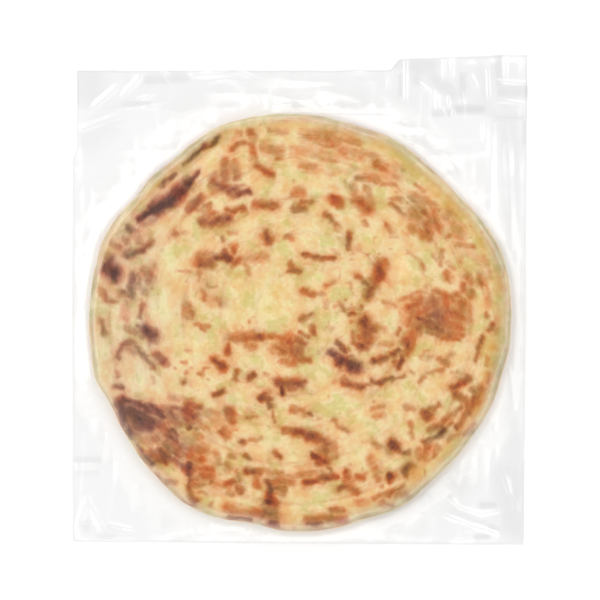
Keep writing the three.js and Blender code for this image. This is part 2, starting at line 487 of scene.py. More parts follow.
# Where the bread touched the hot griddle. Each mark is a stroke: its two ends in millimetres from
# the bread's centre, its width in millimetres, and how dark its middle is: 0.2 straw, 0.4 orange
# tan, 0.6 toffee, 0.75 brown and 0.9 burnt. They follow the coil, and are listed by quarter.
MARKS: dict[str, Strokes] = {
    "upper left": (
        (-89.5, 59, -82, 63.8, 5, 0.88), (-81.5, 64, -74, 68.5, 9.3, 0.97),
        (-74, 68, -67.5, 73.5, 10, 0.97), (-67, 73, -61.5, 79.3, 7.5, 0.93),
        (-61, 80.5, -57.5, 84.5, 4, 0.8), (-89, 55.5, -83, 57.5, 5, 0.45), (-79.5, 77, -71, 83, 3.4, 0.62),
        (-66, 89.5, -58, 95.2, 3, 0.64), (-58, 95.2, -45, 104.6, 3.2, 0.64),
        (-62, 64.5, -57, 69.5, 6.5, 0.6), (-60, 63.5, -51, 63, 4.6, 0.46),
        (-97, 53, -95.5, 52.5, 4.5, 0.56), (-98, 47, -97, 45, 5, 0.45), (-71, 49.8, -69, 50, 3.6, 0.6),
        (-69, 50, -64, 50.5, 3, 0.34), (-55, 56.5, -50, 56, 6.5, 0.68), (-50, 56, -40, 59, 6, 0.74),
        (-49, 79, -43, 75.5, 7, 0.62), (-42, 91, -42, 81, 6.5, 0.56), (-37, 89, -36, 83, 6.5, 0.5),
        (-50.5, 65, -50, 64.5, 3, 0.5), (-44, 47, -43, 46, 4, 0.5), (-34.5, 106.5, -33, 106.5, 4.6, 0.36),
        (-27.6, 108, -26.6, 104, 4.8, 0.5), (-37.8, 98, -35, 100.3, 3.8, 0.62),
        (-35, 100.5, -31, 101.5, 3.4, 0.6), (-31, 101.5, -27, 101, 4, 0.45), (-27, 99, -26, 93, 5, 0.5),
        (-20, 98.5, -13, 96.5, 8, 0.48), (-17, 108, -9, 107.5, 5, 0.36), (-24.5, 89, -20, 85, 4.8, 0.6),
        (-20, 84.5, -16, 84, 5, 0.68), (-42, 76, -38, 74, 5, 0.6), (-40, 73.5, -34, 74, 6.5, 0.75),
        (-36, 73.4, -29, 73.4, 4.6, 0.8), (-36, 76.5, -31, 77, 4, 0.5), (-40, 63, -31, 63.5, 4.6, 0.62),
        (-41, 59, -40, 59, 5, 0.6), (-25, 66.5, -14, 66, 6, 0.57), (-4, 64, 2, 64.5, 5.5, 0.57),
        (0, 67.5, 7, 68, 4, 0.5), (-2, 73, 0, 74, 7, 0.46), (-19, 49.5, -18.6, 46.5, 7, 0.73),
        (-7, 48.5, -5, 48, 4.6, 0.42), (-37, 42.5, -37, 41, 5, 0.6), (-40, 50, -36, 51, 4, 0.36),
        (-56, 33.3, -50, 34, 7.5, 0.74), (-47, 36, -41, 37, 6, 0.76), (-42, 38, -40.5, 36, 6.5, 0.84),
        (-55, 38, -50, 38.5, 5, 0.45), (-56, 29, -56.5, 24, 5, 0.42), (-56, 27, -50, 14, 14, 0.27),
        (-31, 35, -20, 37, 6.5, 0.44), (-38, 34, -34, 36, 6, 0.5), (-30, 31, -29, 27, 5, 0.38),
        (-51, 20.5, -48, 19.5, 3.2, 0.45), (-55, 17, -53, 13, 3.6, 0.46), (-48, 13, -44, 11, 6, 0.36),
        (-63.5, 10, -63.6, 3.5, 5.2, 0.5), (-63, 6, -61, 3.5, 4.6, 0.6), (-106.5, 44.5, -103, 42, 5, 0.44),
        (-97.6, 37.8, -89, 40.5, 6, 0.74), (-89, 40.5, -84, 45.5, 5, 0.66), (-92, 49, -90, 46, 8, 0.4),
        (-91, 45, -88, 44, 5, 0.5), (-96, 53.5, -92, 52, 4, 0.48), (-107.4, 36.5, -107, 32, 6.5, 0.8),
        (-108, 31, -104.5, 27.5, 9.5, 0.9), (-105.5, 26, -104.6, 22.5, 4.6, 0.85),
        (-111.5, 18, -109, 12.5, 5, 0.5), (-108, 13, -104, 12, 4, 0.42), (-101, 16.5, -95, 15, 6, 0.6),
        (-94.5, 27, -96, 16.5, 5.8, 0.66), (-86.5, 29, -85.5, 24, 8, 0.48), (-91, 26, -90.5, 22, 5, 0.54),
        (-91, 21, -88, 18, 6, 0.42), (-83, 34, -82, 30, 5, 0.3), (-90, 3, -89.4, 9, 4, 0.58),
        (-112, 0.5, -110.5, -5.5, 4.5, 0.57), (-98, 50, -88, 50, 12, 0.26), (-98.5, 14, -98.5, 2, 7, 0.36),
        (-49, 76, -47, 74, 5, 0.4), (-48, 83, -46, 80, 5, 0.4), (-95, 18, -90, 25, 4.5, 0.5),
        (-53, 60, -48, 61, 5, 0.5), (-53, 65.5, -50, 66, 4, 0.5),
    ),
    "upper right": (
        (1, 88, 8, 88, 5, 0.42), (4, 105, 19, 104.5, 9, 0.44), (18, 101, 23, 103, 6, 0.4),
        (22, 96, 37, 94, 8, 0.36), (27, 102, 34, 101, 4, 0.4), (2, 86, 32, 85, 6, 0.23),
        (8, 97, 18, 92.5, 9, 0.28), (8, 101.5, 19, 99, 4.5, 0.36), (-4, 97.5, 8, 97, 7, 0.28),
        (18, 70, 22.5, 67, 6.4, 0.6), (14.5, 61.5, 21, 54.5, 3.8, 0.6), (27.8, 50.5, 27.6, 42, 4, 0.62),
        (29.5, 76, 31, 69, 6, 0.44), (33, 69, 38, 64.5, 8.5, 0.56), (32, 80.5, 38, 81.5, 4.5, 0.5),
        (38, 76, 40, 66, 6, 0.44), (37, 57, 37, 55, 3, 0.4), (2, 38.5, 9, 36.3, 3.6, 0.66),
        (9, 36.2, 19, 35.6, 4, 0.66), (-5, 33.5, -4, 30, 4.5, 0.5), (-6, 29, -1, 29, 4, 0.54),
        (2, 17.5, 7, 15, 5.5, 0.58), (7, 16, 13, 16.3, 4, 0.4), (15, 20.5, 19, 22.5, 3.6, 0.38),
        (32, 26, 38, 21.5, 4, 0.6), (45.6, 33, 44.2, 26.5, 8.2, 0.74), (43.5, 26.5, 39, 15.5, 8, 0.7),
        (23.2, 9.5, 24, 7, 4, 0.6), (16, 12, 15, 9, 4, 0.3), (28, 4.4, 30, 4.4, 5, 0.6),
        (27, 8, 34, 8.5, 4, 0.42), (33, 5, 35, 3.5, 5, 0.4), (0.8, 1.5, 6, 4.5, 3.8, 0.54),
        (43, 91, 48, 86.5, 6.5, 0.58), (37, 95, 43, 93, 5, 0.42), (48, 86, 55, 81, 8, 0.32),
        (52, 88, 57, 87, 5, 0.3), (38, 82, 43, 80, 5, 0.5), (46, 78, 53, 77, 4, 0.33),
        (64, 78, 70, 73, 3.5, 0.34), (52, 69.5, 57, 69, 4, 0.42), (51, 66, 59, 61.5, 4, 0.5),
        (65, 62, 76, 54, 14, 0.43), (63, 54, 71, 49.5, 7, 0.47), (69, 62.5, 71, 61, 5, 0.58),
        (71.5, 56.5, 73, 50.5, 6.5, 0.64), (72.5, 48.5, 73, 47.5, 5, 0.56), (76, 63, 78, 52, 6, 0.46),
        (64, 71, 75, 66, 6, 0.42), (83, 60, 90, 50, 9, 0.4), (84, 49, 84, 48, 4, 0.45),
        (89, 44, 98, 42, 5, 0.46), (48.5, 54, 51, 49.5, 3.2, 0.46), (103, 36, 107, 26, 5.5, 0.3),
        (93, 40, 100, 35, 6, 0.28), (60, 41, 67, 35, 1.8, 0.28), (67, 35, 70, 29, 2, 0.34),
        (71, 21, 71, 20, 2.5, 0.34), (76, 38, 78, 35, 4, 0.34), (80.5, 40, 79.5, 33, 3.6, 0.46),
        (82.5, 28.5, 83.5, 24.5, 4.6, 0.52), (90.5, 37, 90.5, 34, 3, 0.26), (95, 25.5, 97, 22, 4.6, 0.52),
        (101.5, 27, 101.5, 21, 4.4, 0.52), (76.5, 18, 79, 16.5, 4.6, 0.56), (87, 16.5, 90, 15.5, 4, 0.5),
        (96, 18, 97.5, 14, 5.5, 0.52), (104, 26, 106, 10, 5, 0.3), (61, 8, 63.5, 9.5, 5.5, 0.64),
        (62.5, 6, 62, -2, 5.5, 0.56), (58, 13, 63, 15, 4, 0.4), (66, 11.5, 84, 13, 8, 0.52),
        (64, 16.5, 70, 17, 4, 0.36), (48, 12, 52, 10, 5, 0.34), (73, 7, 90, 5, 15, 0.57),
        (72, 4, 80, 3, 6, 0.66), (92, 21, 93, 18, 4, 0.48), (66, 4, 72, 8, 8, 0.56),
        (67, 2, 73, -1, 6.5, 0.74), (91.3, 11, 90.6, 2, 6.5, 0.58), (81, 15.5, 88, 12.5, 6, 0.54),
        (105.5, 6, 105.5, 3, 3, 0.52), (84, 34, 86, 30, 4, 0.34),
    ),
    "lower left": (
        (-98, -3, -92, -6, 4.5, 0.42), (-87, -4, -83, -8.2, 8.2, 0.8), (-91.5, -2.5, -88, -3, 3.6, 0.6),
        (-89, -8.6, -84, -10, 3.6, 0.5), (-85.5, -9, -82, -9, 3.6, 0.5), (-102.6, -20, -101, -14, 3.5, 0.6),
        (-101, -13.5, -96, -11, 4.5, 0.56), (-95.5, -11, -91, -16, 4.6, 0.54),
        (-91, -17, -86, -20, 4.5, 0.54), (-87, -20, -82.5, -26, 4, 0.5),
        (-80.3, -17.6, -77, -22, 5.5, 0.74), (-97, -14.5, -93, -17, 7, 0.4), (-75, -23, -74, -24, 4, 0.42),
        (-103, -28, -102.5, -30, 3.5, 0.4), (-104, -36, -100, -36, 3.6, 0.56),
        (-104, -21, -104.5, -30, 1.6, 0.28), (-66, -33.5, -65, -33.5, 4, 0.6),
        (-83, -32, -83, -33, 3, 0.34), (-59, -1.2, -52, -2.5, 4, 0.44), (-56, -3.6, -54, -5, 3.6, 0.46),
        (-40.5, -13, -41, -17, 5, 0.66), (-47.5, -21.5, -43, -25.5, 5.8, 0.76),
        (-44.5, -25, -43, -27, 5, 0.62), (-48, -41, -43, -38.5, 4.4, 0.62), (-39, -8.5, -33, -8.6, 7, 0.56),
        (-31, -7, -26, -6, 5, 0.5), (-31, -9, -21, -8.6, 6, 0.66), (-29, -12, -26, -14, 5, 0.45),
        (-17, -8, -8, -9, 4.6, 0.5), (-12, -14.6, -8, -16, 6.6, 0.62), (-7, -11.5, -3, -17, 10, 0.66),
        (-3, -10.5, 0.5, -12, 6, 0.7), (-1, -14, 0.6, -18, 5.6, 0.6), (-9, -22, -3, -23, 6, 0.46),
        (0, -21, 5, -22.3, 4.6, 0.5), (-36, -32, -35.5, -28, 4.8, 0.57), (-28, -31, -26.3, -30, 4.6, 0.74),
        (-20, -29, -17, -30, 3, 0.34), (-12, -34.5, -6.5, -35, 6.5, 0.7),
        (-4, -34.6, 0.6, -34.8, 6.5, 0.76), (-10, -37.5, -9.6, -39.5, 4.2, 0.9),
        (-8, -37.6, -3, -37.6, 4, 0.56), (-101, -45.5, -98.5, -56, 7, 0.84), (-100, -44, -90, -46, 5, 0.84),
        (-90, -47.5, -84, -49, 5, 0.8), (-95, -50, -90, -51, 6, 0.84), (-95.5, -51, -91, -57, 11.5, 0.82),
        (-88, -53, -84, -57, 9.5, 0.84), (-86, -50, -79, -51, 7, 0.8), (-83, -54, -74, -61, 6.4, 0.66),
        (-93, -62, -91, -64, 5, 0.58), (-97.5, -58, -95.5, -63, 5.5, 0.72), (-96, -64, -92, -66, 4, 0.5),
        (-88, -66, -80.5, -66, 9.5, 0.44), (-75, -52, -69, -57, 8, 0.55), (-78, -48, -69, -48.6, 4.6, 0.6),
        (-65, -54, -63, -55, 5, 0.58), (-64, -49, -61, -52, 8.5, 0.74), (-62, -46.5, -57, -48, 5, 0.66),
        (-63, -59, -62.3, -58.6, 3.6, 0.66), (-73, -42.5, -62, -43.5, 5, 0.34),
        (-64, -57.5, -57, -55.5, 5, 0.5), (-56, -50, -47, -53, 9, 0.36), (-56, -58, -52, -60, 5, 0.42),
        (-76, -62, -69.5, -67.5, 5.6, 0.7), (-75, -67, -70, -72, 6, 0.6), (-72, -73.5, -67, -75, 6, 0.62),
        (-77, -68, -74, -72, 5, 0.6), (-79, -73, -76, -78, 6, 0.7), (-76, -77, -69, -79, 6, 0.56),
        (-66, -65, -58, -67, 10, 0.36), (-68, -69.5, -54, -72, 8, 0.57), (-64, -75, -57, -78, 8, 0.56),
        (-91.5, -69.5, -88, -75.5, 3.2, 0.6), (-88, -75.5, -83, -79.3, 4.2, 0.76),
        (-84, -75, -79.5, -77.5, 8.5, 0.6), (-84, -78, -79, -79, 3.6, 0.62), (-81, -85, -79, -87, 4, 0.42),
        (-62.8, -80, -62.8, -85.5, 4.6, 0.83), (-66, -81.5, -63.8, -85, 5, 0.62),
        (-60, -82, -50, -83, 6, 0.58), (-55, -86, -49.5, -87, 6, 0.54), (-75.5, -88.7, -71, -90, 4.2, 0.52),
        (-62.5, -87, -62.3, -96, 3.4, 0.64), (-62, -96, -58.5, -100.5, 5.2, 0.62),
        (-66, -101, -60, -103.5, 3, 0.5), (-60, -91.5, -54, -91, 4, 0.5), (-61, -88, -54, -89, 4, 0.46),
        (-56, -95, -52, -97, 3.6, 0.36), (-51, -102.5, -50, -102.5, 3, 0.44),
        (-50.5, -89.5, -49.5, -89.5, 3.4, 0.52), (-48, -73, -46.5, -79, 5, 0.45),
        (-52, -55, -48, -64, 13, 0.2), (-50, -55, -44, -59.5, 7, 0.34), (-51, -78, -46, -95, 11, 0.28),
        (-40.5, -75, -36.5, -76, 3.2, 0.46), (-40, -50, -38.5, -54.5, 7, 0.62),
        (-44, -61, -41, -64.5, 6.5, 0.6), (-52, -50, -45, -52, 5, 0.42),
        (-21.6, -42.6, -17.2, -42.4, 5.2, 0.8), (-18, -43.5, -16.8, -47.5, 4.2, 0.72),
        (-16, -48.5, -14.2, -56, 2.8, 0.5), (-5, -49, 3, -50.6, 5, 0.52), (5.4, -50.8, 6.4, -50.8, 4, 0.68),
        (-29, -49, -28, -51, 5, 0.34), (-29, -53, -25, -53.5, 3.6, 0.42),
        (-33, -67.8, -31.6, -67.5, 4.5, 0.65), (-28, -66, -22, -66, 3.6, 0.38),
        (-31, -75.5, -29, -78, 3, 0.48), (-14, -74.2, -12, -75.4, 4, 0.62),
        (-29.5, -83.6, -23, -84.8, 5.6, 0.72), (-24, -83.8, -11, -85, 5, 0.48),
        (-36, -84, -33.5, -89, 5, 0.52), (-42, -80, -40, -83, 6, 0.42), (-41, -91.5, -37, -90, 5, 0.68),
        (-35, -93, -33, -94, 5, 0.62), (-41, -97, -39, -97, 4, 0.4), (-25, -87, -24.2, -92, 5.6, 0.54),
        (-19, -90, -4, -90, 5.5, 0.62), (-15, -93, -9, -93.5, 5, 0.64), (-14.5, -95, -10, -96, 5, 0.5),
        (-15, -101, -14, -110, 7.5, 0.57), (-18.5, -89.5, -16.5, -94, 4.5, 0.76),
        (-16.4, -94, -16.6, -101.5, 6, 0.82), (-19, -106, -15, -109, 9, 0.6),
        (-16, -113, -13.4, -113.4, 4.6, 0.86), (-18, -88, 0, -86.6, 4, 0.42),
        (-40, -105.5, -28, -107.5, 7, 0.5), (-26, -107, -21, -108.5, 6.5, 0.6),
        (-40, -110, -28, -111, 3, 0.6), (0, -6.5, 5, -9, 3.6, 0.54), (-84, -47, -77, -54, 5, 0.84),
        (-71.5, -60, -68.5, -67.5, 3.6, 0.74), (-73, -50, -71, -54, 4, 0.66), (-59, -60, -57, -59, 4, 0.5),
    ),
    "lower right": (
        (6.3, -1.5, 7.3, -7, 4, 0.58), (16, -3, 18, -4, 4.5, 0.3), (10, -17, 11, -17, 3.5, 0.28),
        (36.5, 0.5, 40, -3, 9, 0.72), (37, -4, 37.5, -10, 11.5, 0.62), (30.5, -6, 30, -12, 4, 0.54),
        (32.5, -13.5, 37, -14, 5.4, 0.7), (20.8, -11.5, 26, -16, 4.4, 0.68),
        (18, -17.4, 22.5, -19.6, 6, 0.77), (23.5, -21.8, 28, -25.2, 8, 0.88),
        (28, -24.4, 32.6, -25.4, 8, 0.84), (28, -20, 33, -22, 4, 0.45), (24.5, -33.5, 30, -35.8, 5.2, 0.75),
        (30, -35.9, 36, -37, 4.8, 0.7), (36, -37, 41, -34.4, 3.8, 0.5), (44, -3, 47, -4, 6, 0.34),
        (44, -13, 52, -12, 5, 0.36), (42, -21.8, 50, -20.2, 4.5, 0.75), (50, -20, 56, -16.4, 4, 0.66),
        (54.8, -24.2, 57.6, -21, 5, 0.84), (60, -10, 61, -14, 6, 0.76), (58.5, -19, 62.5, -11, 6.5, 0.62),
        (61, -11, 67, -1.5, 8.5, 0.62), (72, -1, 79, -5, 7, 0.68), (79, -6, 85, -8, 4.6, 0.6),
        (80, -1, 88, -2.5, 13, 0.58), (72, -5, 77, -7, 4, 0.56), (80, -8.6, 89, -9, 4.6, 0.6),
        (85, -6, 90.5, -7, 5, 0.6), (54, -6, 56, -3.6, 3.6, 0.54), (41.3, -32.6, 45.5, -34, 4, 0.7),
        (45.5, -34, 52, -31, 3.8, 0.66), (51, -33, 58.5, -30, 3.6, 0.57), (63, -28, 64, -28.5, 3.5, 0.38),
        (67.5, -33.5, 71, -31, 3.2, 0.4), (73, -28.5, 81, -27, 3.4, 0.46), (86, -29, 89, -28.3, 3, 0.36),
        (70, -19.5, 85, -19.8, 4.5, 0.3), (79, -20.8, 83, -24, 4.4, 0.54), (82, -21, 86, -18, 4, 0.36),
        (108.2, -2, 107.6, -4, 3.6, 0.64), (102.4, -8, 100.4, -15, 3.9, 0.62),
        (100.4, -15, 99, -22, 3.6, 0.56), (106, -20, 106, -24, 3.2, 0.36), (106, -29, 106, -34, 4, 0.38),
        (94.5, -31, 91, -34, 5, 0.7), (90, -34.5, 86, -38, 5.2, 0.7), (88, -41, 91, -43, 6, 0.62),
        (97, -37, 98, -39, 4, 0.58), (101.5, -38, 100.5, -42, 6.5, 0.5), (87, -31, 88.5, -31, 3, 0.34),
        (18.5, -54.6, 22.5, -58.6, 3, 0.42), (22, -58.4, 27.5, -61.6, 3.5, 0.44),
        (-9, -60.6, -4, -61, 4.6, 0.58), (-2.5, -62, 8, -64.2, 6.6, 0.73), (8, -65, 16, -68, 7.4, 0.63),
        (10.5, -71, 12, -72, 5, 0.5), (14, -70, 15, -76, 8, 0.58), (8, -75.4, 10.5, -75.8, 5.6, 0.86),
        (10.5, -77, 15, -78.3, 6.4, 0.72), (9.5, -80.6, 13, -81, 4, 0.55), (15.5, -82, 17, -83.5, 3.6, 0.6),
        (19, -69.5, 19.5, -76, 4, 0.38), (3.5, -89.4, 10, -88.4, 5, 0.78), (10, -88.4, 20, -86.6, 5, 0.77),
        (0, -85.5, 12, -84.4, 4, 0.42), (27, -83.5, 27.4, -86.5, 4.8, 0.66),
        (25, -89.4, 29, -89.6, 5, 0.46), (33, -87, 36, -88, 5.2, 0.66), (21.5, -93.6, 27, -92, 5, 0.6),
        (25, -93, 32.4, -95.6, 5.6, 0.64), (32, -101, 37, -101.6, 5, 0.32), (5, -113.4, 11, -113.6, 4, 0.7),
        (4, -110.6, 26, -110.8, 5, 0.55), (10, -113, 18, -112.6, 4, 0.38),
        (17.5, -105.6, 24, -106, 3.8, 0.52), (3, -93, 6, -92.6, 3.6, 0.34), (41, -49, 47, -47.5, 4, 0.38),
        (42, -53.5, 48, -53, 4.5, 0.34), (60, -47.5, 63.5, -49, 4, 0.4), (62, -56, 63, -65, 3.6, 0.4),
        (70.6, -52, 72, -52.2, 7, 0.79), (73, -60.5, 79, -58.2, 5, 0.6), (73, -48.8, 79, -46, 4, 0.57),
        (42, -68.5, 50, -72.5, 4.4, 0.46), (51.8, -69.4, 53.6, -70.3, 7.2, 0.87),
        (56, -72.2, 61, -73.6, 5, 0.64), (62.5, -81.5, 61.5, -83, 7.6, 0.68),
        (60.5, -83.5, 60, -85, 5.4, 0.84), (66.5, -73, 68, -77, 5, 0.46),
        (50.9, -86.8, 51, -88.8, 4.6, 0.87), (52, -86, 55, -87, 5, 0.42), (40, -77, 44, -84, 7, 0.38),
        (43, -86, 44, -88.5, 4.4, 0.46), (46, -92, 46, -93, 3, 0.46), (41, -99.4, 49, -96.6, 3.6, 0.44),
        (50, -96, 58, -93, 4.4, 0.56), (54, -98, 60, -97, 4.6, 0.44), (46, -101.5, 52, -103, 4, 0.4),
        (44, -102.4, 50, -104, 3, 0.3), (99.5, -43, 95.5, -50, 5.6, 0.66),
        (94, -51.5, 89, -59.5, 4.4, 0.54), (93, -43, 95, -48, 5, 0.58), (88, -51, 80.5, -56, 4, 0.48),
        (89, -58.8, 88.4, -59.4, 3.6, 0.7), (86, -57, 81, -60.4, 4, 0.48), (81, -60.5, 79.6, -63, 4.8, 0.8),
        (79, -63.6, 71, -67.6, 4.4, 0.64), (73, -68, 70.4, -77, 5.5, 0.53), (78, -70, 74.5, -75.5, 4, 0.5),
        (99, -57, 93, -63, 3.4, 0.42), (90, -62, 84, -66, 4, 0.42), (46, -78, 47, -82, 4, 0.3),
        (91, -47, 88, -51, 4, 0.5), (64, 4, 66, -2, 8, 0.54),
    ),
}


# Where the rim's layers are soaked golden with butter. The same measures as above.
BUTTER: Strokes = (
    (-92, 66, -80, 78, 3.5, 0.6), (-76, 84, -66, 91, 4, 0.6), (-44, 107, -38, 108, 4, 0.5),
    (-109, 38, -107, 42, 4, 0.45), (-106, 21, -104, 17, 4, 0.5), (-113, 22, -112, 16, 3, 0.4),
    (62, 86, 92, 62, 7, 0.12), (78, 71, 88, 64, 6, 0.45), (98, 56, 103, 43, 5, 0.45),
    (30, 105, 50, 97, 5, 0.3), (108, -14, 106, -28, 5, 0.5), (104, -42, 100, -50, 4, 0.5),
    (72, -78, 62, -86, 6, 0.35), (83, -72, 79, -77, 5, 0.5), (-78, -90, -70, -96, 4, 0.5),
    (-92, -72, -86, -80, 3, 0.4), (40, 24, 46, 30, 3, 0.15), (-40, 28, -36, 26, 4, 0.5),
)

# Where the browning is a dull mauve brown. The same measures as above.
CHARRED: Strokes = (
    (-101, -48, -86, -56, 26, 1.0), (-80, -50, -60, -51, 16, 0.75), (-73, -63, -64, -70, 9, 0.7),
    (-80, -72, -68, -80, 9, 0.75), (-63, -82, -63, -86, 7, 0.8), (-91, 58, -60, 83, 17, 0.9),
    (-51, 84, -30, 74, 14, 0.7), (-52, 56, -39, 60, 9, 0.5), (-107, 34, -104, 24, 14, 0.8),
    (-97, 26, -88, 18, 12, 0.55), (-89, -2, -82, -9, 14, 0.75), (-102, -13, -76, -23, 10, 0.6),
    (17, -18, 33, -26, 14, 0.75), (72, 9, 80, 3, 12, 0.5), (-13, -34, 1, -35, 8, 0.5),
    (-46, 38, -40, 36, 8, 0.5), (3, -60, 14, -68, 7, 0.4), (-87, -80, -82, -72, 8, 0.6),
    (-62, 64, -56, 70, 8, 0.6),
)

# Folds of dough that stand up between the marks, with a painted highlight: the browning is faded along them.
# The last number is how sharply.
FOLDS_AND_HIGHLIGHTS: Strokes = (
    (26, -101.5, 42, -96.6, 2.4, 0.6), (42, -96.6, 52, -92.2, 2.2, 0.6), (52, -92.2, 64, -88.4, 4.0, 0.6),
    (-102, -27, -80, -42, 4.0, 0.6), (-62, 74, -46, 98, 2.4, 0.6), (-46, 98, -43, 104, 2.2, 0.5),
    (60, 42, 68, 35, 1.6, 0.4), (-46, 68, -26, 79, 2.4, 0.5), (-26, 112.5, 0, 115, 5.0, 0.6),
    (0, 115, 24, 112, 5.0, 0.6),
)


@dataclass(frozen=True)
class Scorching:
    """The browning left by the griddle.

    Attributes:
        stray_x: how the marks' outlines stray from plain strokes.
        stray_y: the same.
        edge: how sharply a mark ends: larger is sharper.
        halo_edge: how sharply the tan dough round a mark ends.
        halo_width: how much wider than the mark it is, in millimetres.
        halo_tone: how dark it is, as a share of the mark's darkness.
        highlight_fading: how much of the browning a raised fold hides, as a painted highlight.
        flecks: the small freckles between the marks.
        fleck_places: where there are more of them.
        fleck_span: what the two add up to where a freckle starts, and where it is full.
        fleck_tone: how dark the freckles are.
        butter_mean: how golden the buttered places are on average, from 0 to 1.
        butter_change: how that varies.
        char_mean: how far the charred places have turned mauve on average.
        char_change: how that varies.
        olive_patches: where the browning leans to olive, which is where this is high.
        olive_rise: how much higher it is on the left and at the upper left.
        olive_left: how far left that starts, and where it is full.
        olive_top: how far up the other part of it starts, and where it is full.
        olive_top_end: how far right that part fades out, and where it has ended.
        olive_span: how high the browning starts to be olive, and where it is so fully.
        thin_mark: the width in millimetres below which a mark is olive.
        thin_olive: how olive it is.
    """

    stray_x: Noise = Noise(21, 1.7, 4.2, 3)
    stray_y: Noise = Noise(22, 1.7, 4.2, 3)
    edge: float = 2.3
    halo_edge: float = 1.6
    halo_width: float = 5.0
    halo_tone: float = 0.4
    highlight_fading: float = 0.6
    flecks: Noise = Noise(23, 1.0, 3.2)
    fleck_places: Noise = Noise(24, 0.5, 14.0)
    fleck_span: Span = (0.75, 1.25)
    fleck_tone: float = 0.34
    butter_mean: float = 0.75
    butter_change: Noise = Noise(25, 0.5, 3.0)
    char_mean: float = 0.8
    char_change: Noise = Noise(26, 0.4, 6.0)
    olive_patches: Noise = Noise(27, 1.0, 15.0, 2)
    olive_rise: float = 0.45
    olive_left: Span = (55.0, 100.0)
    olive_top: Span = (50.0, 80.0)
    olive_top_end: Span = (-45.0, -20.0)
    olive_span: Span = (0.25, 0.85)
    thin_mark: float = 4.6
    thin_olive: float = 0.85

    def tone(self, x: Array, y: Array) -> Array:
        """How brown the crust is, from 0 for pale dough to 1 for black.

        Args:
            x: millimetres from the bread's centre.
            y: millimetres from the bread's centre.

        Returns:
            One tone for each point.
        """
        strayed_x, strayed_y = x + self.stray_x.at(x, y), y + self.stray_y.at(x, y)
        freckles = smooth_step(self.flecks.at(x, y) + self.fleck_places.at(x, y), *self.fleck_span)
        tone = self.fleck_tone * freckles
        for strokes in MARKS.values():
            for stroke in strokes:
                add_stroke(tone, strayed_x, strayed_y, stroke, self.edge)
                halo = (*stroke[:4], stroke[4] + self.halo_width, self.halo_tone * stroke[5])
                add_stroke(tone, strayed_x, strayed_y, halo, self.halo_edge)
        # Painted highlights: the browning fades along the raised folds.
        return tone * (1.0 - self.highlight_fading * strokes_at(x, y, FOLDS_AND_HIGHLIGHTS))

    def butter(self, x: Array, y: Array) -> Array:
        """How golden with butter the crust is, from 0 to 1."""
        return strokes_at(x, y, BUTTER) * (self.butter_mean + self.butter_change.at(x, y))

    def charring(self, x: Array, y: Array) -> Array:
        """How far the browning has turned to a dull mauve brown, from 0 to 1."""
        return strokes_at(x, y, CHARRED) * (self.char_mean + self.char_change.at(x, y))

    def olive(self, x: Array, y: Array) -> Array:
        """How far the browning is olive instead of red, from 0 to 1.

        Args:
            x: millimetres from the bread's centre.
            y: millimetres from the bread's centre.

        Returns:
            One value for each point. It is high in thin marks and on the left, most of all at the top.
        """
        patches = self.olive_patches.at(x, y) + self.olive_rise * smooth_step(-x, *self.olive_left)
        top = self.olive_rise * smooth_step(y, *self.olive_top)
        patches += top * (1 - smooth_step(x, *self.olive_top_end))
        thin = tuple(stroke for strokes in MARKS.values() for stroke in strokes if stroke[4] < self.thin_mark)
        return np.maximum(smooth_step(patches, *self.olive_span), self.thin_olive * strokes_at(x, y, thin))


# --- The bread ---------------------------------------------------------------------------------


